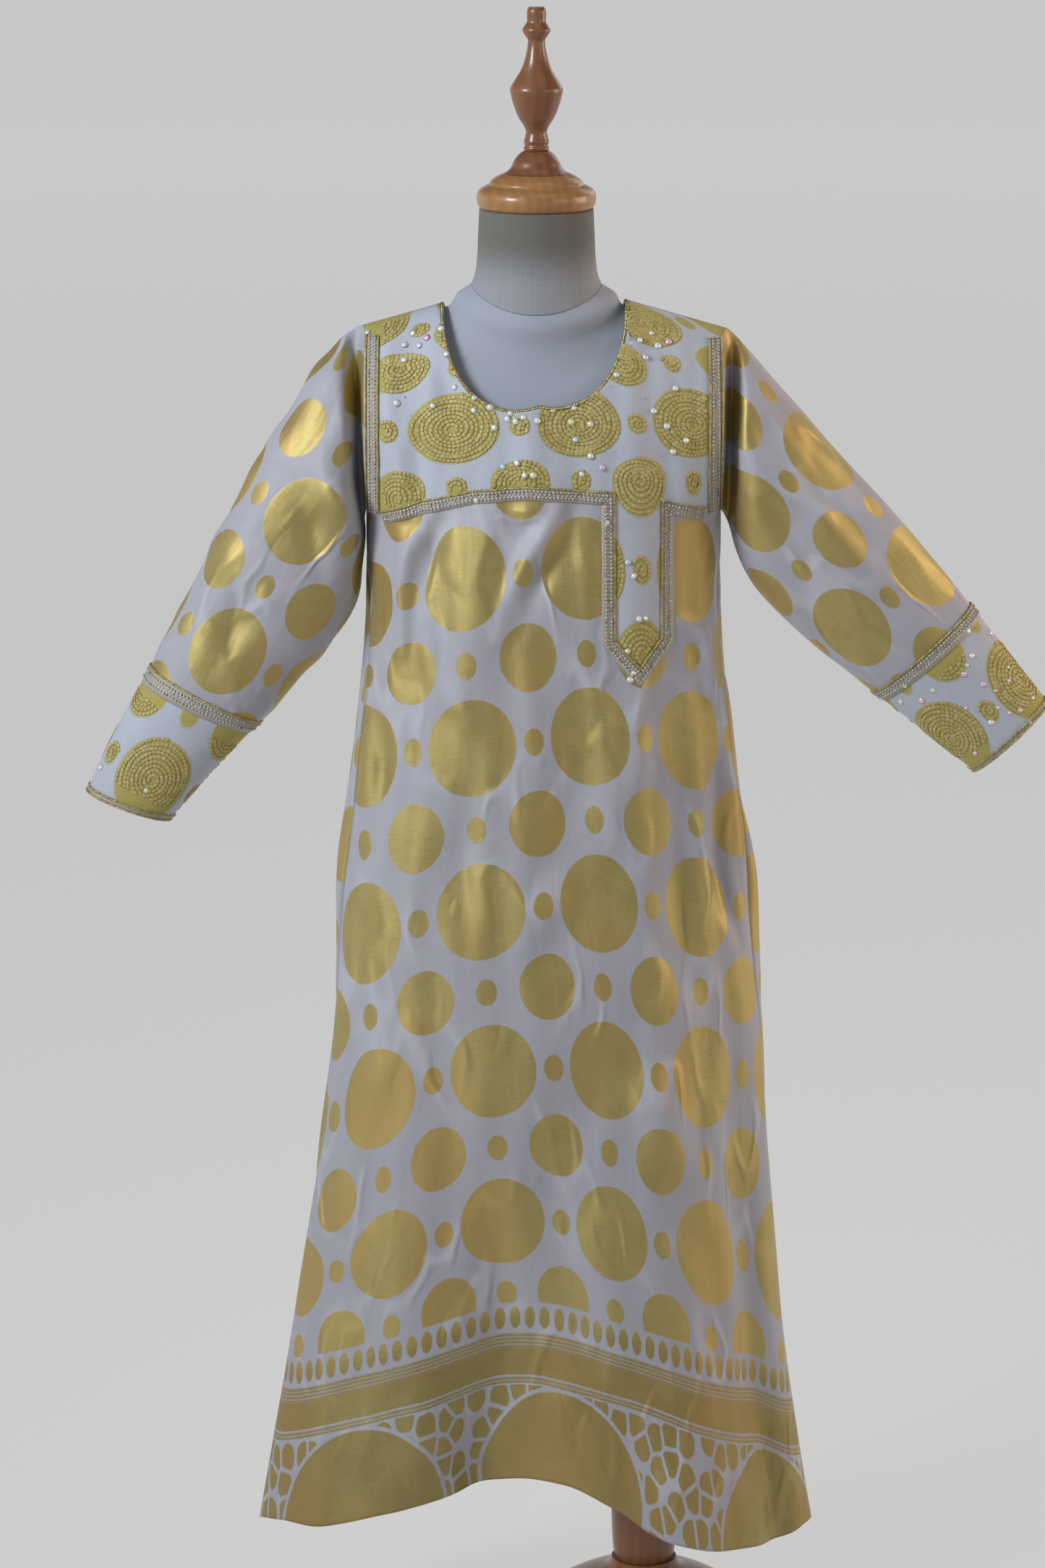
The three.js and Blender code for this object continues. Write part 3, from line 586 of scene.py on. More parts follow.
    def material(self, face: Face) -> bpy.types.Material:
        """The brocade's material.

        Args:
            face: The side that shows.

        Returns:
            The material.
        """
        material, graph = new_material(f"brocade_{face.value}")
        uv = graph.node("ShaderNodeUVMap", {"uv_map": "cloth"}).outputs["UV"]
        worked = graph.attribute("embroidered")
        ragged = graph.node("ShaderNodeTexNoise", {}, {"Vector": uv, "Scale": 420.0, "Detail": 1.0})
        shake = graph.vector("SUBTRACT", ragged.outputs["Color"], (0.5, 0.5, 0.5))
        place = graph.vector("ADD", uv, graph.vector("MULTIPLY", shake, (0.0016, 0.0016, 0.0)))
        u, v, _ = graph.split(place)
        repeats = graph.join(u / self.across + 0.5, (v - self.first_row) / self.along)
        soft = worked * 0.0022 + 0.0009
        mask, inside = None, None
        for centre, radii in self.kinds():
            depth = (1 - self.reach(graph, repeats, centre, radii)) * min(radii)
            filled = graph.math("MINIMUM", (depth / soft + 0.5).most(0.0), 1.0)
            mask = mask.most(filled) if mask else filled
            inside = inside.most(depth) if inside else depth
        field_mask = graph.rise(v, 0.0150, 0.0165)
        gold = (mask * field_mask).most(self.border(graph, u, v) * (1 - field_mask))
        return self.dress(graph, material, face, uv, u, v, gold, inside, worked)

    def dress(self, graph: Graph, material: bpy.types.Material, face: Face, uv: Socket, u: Value, v: Value,
              gold: Value, inside: Value, worked: Value) -> bpy.types.Material:
        """Add the colours, with a painted highlight along thin wrinkle lines and a painted reflection in
        patches of browner gold, the shine and the weave.

        Args:
            graph: The material's graph.
            material: The material.
            face: The side that shows.
            uv: The cloth's place.
            u: Place across, in metres.
            v: Place along, in metres.
            gold: Where the gold weft lies on top.
            inside: Depth inside the nearest disc, in metres.
            worked: Where the cloth is embroidered.

        Returns:
            The material.
        """
        weft = graph.noise(graph.vector("MULTIPLY", uv, (60.0, 1300.0, 0.0)), 1.0, 2.0, 0.6)
        cloud = graph.noise(uv, 22.0, 3.0, 0.55)
        warp = graph.noise(graph.vector("MULTIPLY", uv, (1500.0, 90.0, 0.0)), 1.0, 2.0, 0.6)
        rib, twill, ring = self.weave
        rings = (inside * (math.pi / ring)).sine().size()
        stitches = graph.noise(uv, 520.0, 2.0, 0.6)
        metal = graph.mix(self.gold_dull, self.gold, graph.rise(weft * 0.6 + cloud * 0.4, 0.25, 0.72))
        # In the border below the leaf row the gold is made a little browner and a quarter darker.
        low = 1 - graph.rise(v, -0.01, 0.02)
        # Patches of browner gold: a painted reflection, for the colour the gold takes where the cloth faces
        # another way.
        painted_reflection_patches = graph.noise(graph.vector("MULTIPLY", uv, (8.0, 3.0, 0.0)), 1.0, 2.0, 0.5)
        metal = graph.mix(metal, self.gold_painted_reflection, graph.rise(painted_reflection_patches + low * 0.04, 0.44, 0.62) * 0.75)
        metal = graph.scale_colour(metal, 1 - low * 0.25)
        thread = graph.scale_colour(self.gold_worked, rings * 0.30 + stitches * 0.55 + 0.50)
        metal = graph.mix(metal, thread, worked)
        satin = graph.mix(self.ground, self.ground_worked, worked)
        uneven = warp * 0.16 + cloud * 0.12 + worked * (stitches - 0.5) * 0.35 + 0.85
        satin = graph.scale_colour(satin, uneven)
        # Thin wrinkle lines: they add relief, and along them the satin and the gold are painted lighter, a
        # painted highlight.
        fold = graph.noise(graph.vector("MULTIPLY", uv, (17.0, 8.0, 0.0)), 1.0, 1.5, 0.5)
        fold = 1 - graph.rise((fold * 2.0 - 1.0).size(), 0.0, 0.15)
        fold = fold * graph.rise(graph.noise(uv, 9.0, 1.0, 0.5), 0.42, 0.62) * (1 - worked)
        satin = graph.scale_colour(satin, fold * 0.20 + 0.97)
        metal = graph.scale_colour(metal, fold * 0.10 + 0.98)
        colour = graph.mix(satin, metal, gold)
        shine = gold * (1 - worked * 0.75) * 0.66
        rough = 0.54 - gold * 0.01 + worked * 0.16 + weft * 0.06
        if face is Face.WRONG:
            colour = graph.mix(colour, (0.34, 0.31, 0.27), 0.55)
            shine, rough = shine * 0.15, rough + 0.25
        ribs = (v * (2 * math.pi / rib)).sine() * 0.035 * gold
        slants = ((u + v * 0.6) * (2 * math.pi / twill)).sine() * 0.02 * (1 - gold)
        crumple = graph.noise(graph.vector("MULTIPLY", uv, (30.0, 9.0, 0.0)), 1.0, 3.0, 0.55) * 2.6
        crumple = crumple + graph.noise(uv, 26.0, 3.0, 0.5) * low * 4.0 + fold * 2.8
        smooth = (ribs + slants + gold * 0.10) * (1 - worked)
        sewn = worked * (gold * (rings * 0.30 + 0.2) + stitches * 0.40)
        relief = crumple + smooth + sewn
        inputs = {"Base Color": colour, "Metallic": shine, "Roughness": rough, "Specular IOR Level": 0.45,
                  "Sheen Weight": 0.12, "Sheen Roughness": 0.4, "Anisotropic": 0.35,
                  "Anisotropic Rotation": 0.25}
        close_material(graph, inputs, relief, 0.6)
        return material


@dataclass(frozen=True)
class BraidGround:
    """Flat braid woven from pale and gold thread, in small slanted stitches."""

    pale: Triple = (0.47, 0.455, 0.47)
    gold: Triple = (0.52, 0.46, 0.27)
    stitch: float = 0.0032

    def material(self) -> bpy.types.Material:
        """The braid's material; its UV map "braid" runs along and across in metres."""
        material, graph = new_material("braid_ground")
        uv = graph.node("ShaderNodeUVMap", {"uv_map": "braid"}).outputs["UV"]
        u, v, _ = graph.split(uv)
        slant = ((u + v.size() * 0.9) * (2 * math.pi / self.stitch)).sine()
        counter = ((u - v.size() * 0.9) * (2 * math.pi / self.stitch)).sine()
        grain = graph.noise(uv, 700.0, 2.0, 0.6)
        share = graph.rise(slant * counter + grain - 0.6, -0.25, 0.45)
        colour = graph.mix(self.pale, self.gold, share)
        colour = graph.scale_colour(colour, grain * 0.5 + 0.72)
        inputs = {"Base Color": colour, "Metallic": share * 0.4, "Roughness": 0.5, "Sheen Weight": 0.1}
        close_material(graph, inputs, slant * 0.18 + counter * 0.12 + grain * 0.3, 0.7)
        return material


@dataclass(frozen=True)
class Tinted:
    """A small trim whose colour changes from one to the next, by the attribute "tint"."""

    name: str
    stops: tuple[tuple[float, Triple], ...]
    metallic: float
    roughness: float
    coat: float = 0.0

    def material(self) -> bpy.types.Material:
        """The trim's material."""
        material, graph = new_material(self.name)
        tint = graph.attribute("tint")
        ramp = graph.node("ShaderNodeValToRGB", {"stops": self.stops}, {"Fac": tint})
        place = graph.node("ShaderNodeTexCoord").outputs["Object"]
        grain = graph.noise(place, 1400.0, 2.0, 0.6)
        colour = graph.scale_colour(ramp.outputs["Color"], grain * 0.4 + 0.8)
        inputs = {"Base Color": colour, "Metallic": self.metallic, "Coat Weight": self.coat,
                  "Roughness": grain * 0.15 + self.roughness, "Coat Roughness": 0.08}
        close_material(graph, inputs)
        return material


class Cover(Enum):
    """The two cloths that cover the dress form."""

    JERSEY = "jersey"
    LINEN = "linen"


@dataclass(frozen=True)
class FormCover:
    """Plain cloth stretched over the dress form; its colour fades to the hem's between two heights."""

    cover: Cover
    colour: Triple
    hem: Triple
    fade: tuple[float, float] = (1.352, 1.402)
    rough: float = 0.82

    def material(self) -> bpy.types.Material:
        """The cover's material."""
        material, graph = new_material(self.cover.value)
        place = graph.node("ShaderNodeTexCoord").outputs["Object"]
        x, y, z = graph.split(place)
        turn = graph.math("ARCTAN2", y, x - FORM_AXIS_X * MM)
        if self.cover is Cover.LINEN:
            warp = graph.noise(graph.join(turn * 60.0, z * 10.0), 1.0, 3.0, 0.65)
            weft = graph.noise(graph.join(turn * 3.0, z * 700.0), 1.0, 2.0, 0.6)
            share = warp * 0.65 + weft * 0.35
            relief = warp * 0.5 + (z * 5200.0).sine() * 0.04 + (turn * 420.0).sine() * 0.05
            tone = share * 0.55 + 0.70
        else:
            cloud = graph.noise(place, 30.0, 3.0, 0.5)
            loops = (turn * 260.0).sine() * (z * 3800.0).sine()
            share = cloud
            relief = loops * 0.05 + graph.noise(place, 900.0, 2.0, 0.5) * 0.08
            tone = share * 0.10 + 0.94
        hue = graph.mix(self.hem, self.colour, graph.rise(z, self.fade[0], self.fade[1]))
        colour = graph.scale_colour(hue, tone)
        inputs = {"Base Color": colour, "Roughness": share * 0.08 + self.rough, "Sheen Weight": 0.25,
                  "Sheen Roughness": 0.5, "Specular IOR Level": 0.25}
        close_material(graph, inputs, relief, 0.5)
        return material


@dataclass(frozen=True)
class TurnedWood:
    """Varnished turned wood, with the grain along the turning axis."""

    name: str
    light: Triple
    dark: Triple
    axis_x: float
    coat: float = 0.4

    def material(self) -> bpy.types.Material:
        """The wood's material."""
        material, graph = new_material(self.name)
        place = graph.node("ShaderNodeTexCoord").outputs["Object"]
        centred = graph.vector("SUBTRACT", place, (self.axis_x, 0.0, 0.0))
        x, y, z = graph.split(centred)
        bend = graph.noise(graph.vector("MULTIPLY", centred, (9.0, 9.0, 2.5)), 1.0, 3.0, 0.6)
        ring = ((x + y * 0.3 + bend * 0.035) * 620.0 + z * 14.0).sine() * 0.5 + 0.5
        pores = graph.noise(graph.vector("MULTIPLY", centred, (900.0, 900.0, 40.0)), 1.0, 2.0, 0.7)
        cloud = graph.noise(centred, 14.0, 3.0, 0.6)
        share = ring * 0.14 + pores * 0.38 + cloud * 0.48
        colour = graph.mix(self.dark, self.light, graph.rise(share, 0.22, 0.80))
        inputs = {"Base Color": colour, "Roughness": pores * 0.12 + 0.34, "Coat Weight": self.coat,
                  "Coat Roughness": 0.14, "Specular IOR Level": 0.45}
        close_material(graph, inputs, pores * 0.06 + ring * 0.03, 0.35)
        return material


# ------------------------------------------------------------------ creases


@dataclass(frozen=True)
class Crease:
    """A soft trough or ridge laid in the cloth.

    Attributes:
        points: The places it runs through, across and up, in millimetres.
        depth: Its rise outwards; a trough's is negative.
        width: Half its breadth.
        lean: How much broader its left side is than its right, as a share.
    """

    points: tuple[tuple[float, float], ...]
    depth: float
    width: float
    lean: float = 0.0

    def relief(self, across: Array, up: Array) -> Array:
        """Rise of the cloth over the crease.

        Args:
            across: Places across, in the crease's own measure.
            up: Places up.

        Returns:
            The rise at each place, in millimetres.
        """
        path = np.asarray(self.points, float)
        runs = np.diff(path, axis=0)
        sizes = np.hypot(runs[:, 0], runs[:, 1])
        starts = np.concatenate([[0.0], np.cumsum(sizes)])
        best = np.full(across.shape, 1e9)
        share = np.zeros(across.shape)
        side = np.ones(across.shape)
        for start, run, size, before in zip(path, runs, sizes, starts):
            t = np.clip(((across - start[0]) * run[0] + (up - start[1]) * run[1]) / size**2, 0, 1)
            gap_x = across - (start[0] + t * run[0])
            gap_z = up - (start[1] + t * run[1])
            gap = np.hypot(gap_x, gap_z)
            near = gap < best
            best = np.where(near, gap, best)
            share = np.where(near, (before + t * size) / starts[-1], share)
            side = np.where(near, np.sign(gap_x), side)
        breadth = self.width * (1 - self.lean * side) * (0.75 + 0.5 * np.sin(np.pi * share))
        uneven = 1.9 + 0.5 * np.sin(share * 9.0 + self.depth)
        return self.depth * uneven * np.sin(np.pi * share) ** 0.7 * np.exp(-((best / breadth) ** 2))


# Waves of the slight unevenness: length across, length up, and rise.
RIPPLES = ((95, 420, 1.2), (58, 260, 0.8), (150, 190, 1.0), (37, 310, 0.4))


def ripple(across: Array, up: Array, seed: float) -> Array:
    """The slight unevenness of hanging cloth, in millimetres."""
    total = np.zeros(np.shape(across))
    for k, (wide, high, depth) in enumerate(RIPPLES):
        phase = seed * (k + 1.7)
        sway = 0.9 * np.sin(up * 2 * np.pi / high + phase)
        total = total + depth * np.sin(across * 2 * np.pi / wide + phase + sway)
    return total


# ------------------------------------------------------------------ the garment's form

# The skirt: height, half-width, middle's place across, reach of the front and of the back.
SECTIONS = ((95, 276, -3, 110, 124), (164, 264, -3, 109, 121), (309, 241, -1, 107, 115),
            (452, 226, 3, 105, 110), (594, 210, 9, 103, 106), (733, 198, 8, 101, 103),
            (888, 183, 5, 100, 99), (1024, 170, 4, 100, 95), (1118, 168, 4, 98, 92))
# The side seams: share of the way up the skirt, and their angle from the front's middle on each side.
SEAMS = ((0, 88, 88), (0.4, 88, 84), (0.6, 84, 77), (0.8, 75, 77), (0.9, 76, 79), (1, 90, 90))
UNDERARM = 1118.0
ARM_SHIFT = 4.0
ARM_HALF = 168.0
NECK_MIDDLE = -5.0
NECK_HALF = 88.0


def shoulder_height(across: Array) -> Array:
    """Height of the shoulder line at a distance across."""
    return 1341.0 - 0.28 * np.abs(across)


@dataclass(frozen=True)
class Side:
    """What differs between the front and the back panel.

    Attributes:
        name: The panel's name.
        sign: -1 for the front, 1 for the back.
        hem: The hem's height by the angle from the panel's middle.
        folds: Large folds: top angle, hem angle, top height, depth, half-breadth.
        creases: Smaller creases, by place across and height.
        chest: The chest's reach.
        neck_depth: Depth of the neckline.
        fullness: How late the chest turns in towards the shoulder line.
    """

    name: str
    sign: int
    hem: tuple[tuple[float, float], ...]
    folds: tuple[tuple[float, float, float, float, float], ...]
    creases: tuple[Crease, ...]
    chest: float
    neck_depth: float
    fullness: float


FRONT = Side(
    name="front_cloth",
    sign=-1,
    hem=((-90, 103), (-66, 116), (-50, 120), (-34, 141), (-14, 162), (6, 171), (17, 150), (25, 124),
         (34, 112), (46, 104), (62, 96), (76, 105), (90, 103)),
    folds=((-2, -8, 640, -50, 62), (22, 38, 900, 24, 60), (58, 62, 980, -14, 34), (-30, -36, 760, 7, 52)),
    creases=(
        Crease(((-96, 1138), (-108, 1112), (-121, 1088), (-127, 1050), (-128, 985)), 4.2, 11, 0.2),
        Crease(((-82, 1134), (-100, 1098), (-108, 1050)), -3.0, 12),
        Crease(((22, 1146), (6, 1116), (-12, 1086), (-32, 1044), (-40, 1004)), 4.4, 11, -0.2),
        Crease(((34, 1142), (20, 1100), (-6, 1062), (-18, 1010)), -3.2, 12),
        Crease(((124, 1030), (140, 1018), (154, 1004), (158, 976), (167, 938), (172, 880)), 4.6, 9, 0.2),
        Crease(((166, 960), (171, 880), (174, 790), (182, 740), (196, 700)), -5.0, 15),
        Crease(((91, 966), (92, 930), (90, 880), (86, 800)), 3.0, 13),
        Crease(((100, 640), (107, 560), (128, 515), (150, 474), (160, 420)), 4.0, 18),
        Crease(((-80, 232), (-67, 218), (-66, 190), (-60, 150)), -4.0, 12),
        Crease(((44, 1100), (56, 940), (74, 880), (80, 780), (84, 640)), 3.2, 22, -0.3),
        Crease(((-66, 1128), (-66, 1030), (-58, 920)), 2.4, 26),
        Crease(((-142, 1000), (-150, 900), (-158, 780)), -3.2, 16),
        Crease(((-120, 900), (-128, 760), (-134, 620), (-146, 470)), 3.0, 26),
        Crease(((20, 900), (16, 780), (24, 640)), -2.4, 24),
        Crease(((-20, 700), (-24, 560), (-30, 430)), 2.6, 26),
        Crease(((130, 860), (136, 760), (142, 650)), -3.0, 17),
        Crease(((-34, 470), (-44, 380), (-40, 300)), -2.4, 20, 0.2),
        Crease(((60, 560), (52, 450), (66, 340), (62, 250)), 2.8, 22, -0.2),
        Crease(((-96, 640), (-84, 540), (-90, 430), (-108, 330)), -2.6, 17),
        Crease(((-62, 880), (-74, 800), (-70, 700)), -2.2, 15, 0.2),
        Crease(((46, 860), (34, 790), (-6, 730), (-30, 690)), 2.2, 15),
        Crease(((108, 900), (84, 840), (70, 770)), -2.2, 14),
        Crease(((-128, 300), (-112, 240), (-120, 170)), 2.6, 18),
        Crease(((128, 330), (120, 260), (132, 190)), -2.8, 18, -0.2),
        Crease(((12, 330), (20, 260), (14, 200)), 2.0, 22),
        Crease(((-112, 1010), (-88, 960), (-50, 925)), 2.0, 13),
        Crease(((-46, 1137), (-22, 1134), (8, 1135)), 1.7, 3.6),
        Crease(((-42, 1128), (-18, 1126), (4, 1128)), 1.4, 3.4),
        Crease(((-100, 1272), (-84, 1236), (-52, 1206)), -1.6, 12),
        Crease(((118, 1262), (132, 1240), (150, 1232)), -2.0, 10),
        Crease(((-150, 1206), (-132, 1180), (-120, 1150)), 1.6, 13),
    ),
    chest=98.0,
    neck_depth=112.0,
    fullness=2.5,
)
BACK = Side(
    name="back_cloth",
    sign=1,
    hem=((-90, 103), (-58, 112), (-35, 132), (0, 150), (40, 128), (66, 108), (90, 103)),
    folds=((4, 12, 700, -34, 64), (-30, -44, 820, 16, 58), (46, 54, 760, 14, 52)),
    creases=(
        Crease(((-60, 1230), (-66, 1130), (-62, 1010)), 2.6, 22),
        Crease(((60, 1236), (70, 1120), (74, 960)), -3.0, 20),
        Crease(((-130, 1150), (-110, 1080), (-100, 960), (-104, 820)), -3.4, 18, 0.2),
        Crease(((128, 1140), (120, 1050), (126, 930)), 3.4, 15),
        Crease(((8, 1180), (2, 1040), (10, 900), (6, 760)), 2.6, 26),
        Crease(((-30, 900), (-40, 760), (-46, 600), (-60, 440)), 3.2, 24, -0.2),
        Crease(((90, 800), (96, 660), (110, 520), (120, 400)), -3.4, 20),
        Crease(((-140, 760), (-150, 620), (-160, 480)), 3.0, 22),
        Crease(((150, 700), (160, 560), (172, 430)), 3.2, 20),
        Crease(((-96, 220), (-92, 180), (-84, 140)), -3.6, 12),
    ),
    chest=92.0,
    neck_depth=45.0,
    fullness=3.0,
)
# Creases that cross the side seams, by bearing from the middle of the front, in degrees, and height.
SEAM_CREASES = (
    Crease(((-74, 1085), (-84, 1010), (-88, 900)), -3.4, 15),
    Crease(((-98, 900), (-92, 780), (-88, 640)), 3.4, 18),
    Crease(((80, 1080), (86, 1000), (96, 920)), -3.2, 14),
    Crease(((72, 900), (82, 780), (94, 640)), 3.6, 17),
    Crease(((84, 620), (92, 480), (98, 340)), -3.4, 18),
    Crease(((-80, 560), (-92, 430), (-100, 300)), -3.6, 19),
)
BEARING_SPAN = 190.0

# Where the rows of figures lie: height on the middle of the front, and place along the cloth in metres.
ALONG_CLOTH = ((60, -0.280), (168, -0.174), (342, 0.0), (368, 0.0265), (443, 0.1045), (598, 0.2605),
               (758, 0.4165), (921, 0.5725), (1078, 0.7285), (1163, 0.8065), (1214, 0.8845),
               (1270, 0.9625), (1302, 1.0405), (1345, 1.1600))
# How a row falls away from its crest: height, the crest's place across, the fall at 150 mm to the left and
# to the right, and how late it falls on each side.
ROW_FALL = ((160, -10, 36, 40, 1.6, 1.6), (342, 0, 39, 40, 1.6, 1.6), (443, 0, 44, 29, 2.0, 1.3),
            (598, 15, 30, 17, 2.1, 1.3), (758, 57, 18, 22, 2.1, 1.6), (921, 60, 17.5, 27, 1.3, 1.3),
            (1078, 50, 21, 20, 3.0, 1.6), (1210, 45, 7, 7, 1.6, 1.6))
FALL_REACH = 150.0
# Lowest height of the hem, where the large folds are deepest.
HEM_Z = 112.0
# Columns of figures: height, the middle column's place across, half a column's step to the left and right.
COLUMN_STEP = ((350, 26, 57, 50), (435, 22, 57, 48.5), (590, 15, 59, 50), (750, 5, 61, 52),
               (920, -5, 60, 52), (1075, -15, 57, 56), (1210, -18, 65, 55), (1300, -22, 62, 50))
# The yoke's lower edge with its tab, from the viewer's left, and what closes it above.
YOKE_EDGE = ((-144.5, 1120), (-108, 1134), (-62, 1146), (-10, 1151), (63.5, 1145), (64.5, 1008),
             (94, 974), (120, 1008), (119.5, 1133), (153.3, 1123))
YOKE_TOP = ((190.0, 1400.0), (-190.0, 1400.0))


def interpolate(place: Array, rows: Rows) -> list[Array]:
    """Straight interpolation in every column of a table after its first."""
    data = np.asarray(rows, float)
    return [np.interp(place, data[:, 0], column) for column in data.T[1:]]


def inside_outline(x: Array, z: Array, outline: Rows) -> Array:
    """Whether places are inside a closed outline.

    Args:
        x: Places across.
        z: Heights.
        outline: The outline's corners in order.

    Returns:
        True for each place inside.
    """
    within = np.zeros(x.shape, bool)
    corners = list(outline)
    for (x0, z0), (x1, z1) in zip(corners, corners[1:] + corners[:1]):
        crosses = (z0 > z) != (z1 > z)
        at = x0 + (z - z0) * (x1 - x0) / ((z1 - z0) if z1 != z0 else 1e-9)
        within ^= crosses & (x < at)
    return within


class ClothMap:
    """Finds where a place on the flat cloth lies on a finished piece."""

    def __init__(self, uv: Array, places: Array) -> None:
        """Keep the piece's grid.

        Args:
            uv: Place of each grid point on the flat cloth.
            places: Its place in the frame, in metres.
        """
        high, wide = uv.shape[:2]
        flat = np.concatenate([uv, np.zeros((high, wide, 1))], -1).reshape(-1, 3)
        self.faces = grid_faces(wide, high)
        self.flat = [Vector(spot) for spot in flat.tolist()]
        self.places = places.reshape(-1, 3)
        self.tree = BVHTree.FromPolygons(flat.tolist(), self.faces)
        self.uv = uv

    def at(self, spots: Array) -> tuple[Array, Array]:
        """Places of spots on the flat cloth.

        Args:
            spots: Across and along, in metres.

        Returns:
            The places in the frame, and whether each spot is on the piece.
        """
        places, found = np.zeros((len(spots), 3)), np.zeros(len(spots), bool)
        for k, (u, v) in enumerate(np.asarray(spots, float)):
            hit, _, face, _ = self.tree.ray_cast(Vector((u, v, 1.0)), Vector((0.0, 0.0, -1.0)))
            if hit is None:
                continue
            corners = self.faces[face]
            weights = poly_3d_calc([self.flat[corner] for corner in corners], hit)
            places[k] = sum(weight * self.places[corner] for weight, corner in zip(weights, corners))
            found[k] = True
        return places, found


class ClothSheet:
    """What a panel and a sleeve share: how their grid of points becomes a sheet of brocade."""

    wall: float

    def sheet(self, name: str, raised: Array, uv: Array, worked: Array,
              finishes: Sequence[bpy.types.Material], closed: bool, flip: bool) -> bpy.types.Object:
        """Make the sheet, its map and its outer face.

        Args:
            name: The sheet's name.
            raised: Its grid of points, in table millimetres.
            uv: Place of each point on the flat cloth.
            worked: 1 for the points of the mesh that are embroidered, otherwise 0.
            finishes: Finish of the outer and of the inner face.
            closed: Whether the grid's last column lies on its first.
            flip: Whether the faces are turned over.

        Returns:
            The sheet's object.
        """
        high, wide = raised.shape[:2]
        kept = world(raised[:, :wide - closed].reshape(-1, 3))
        faces = grid_faces(wide - closed, high, closed, flip)
        piece = make_mesh(name, kept, faces)
        set_uv(piece, "cloth", uv.reshape(-1, 2)[np.ravel(grid_faces(wide, high, flip=flip))])
        set_share(piece, "embroidered", worked.astype(float).ravel())
        for finish in finishes:
            piece.data.materials.append(finish)
        self.skin = BVHTree.FromPolygons(kept.tolist(), faces)
        self.map = ClothMap(uv, world(raised))
        thicken(piece, self.wall, 1)
        return piece


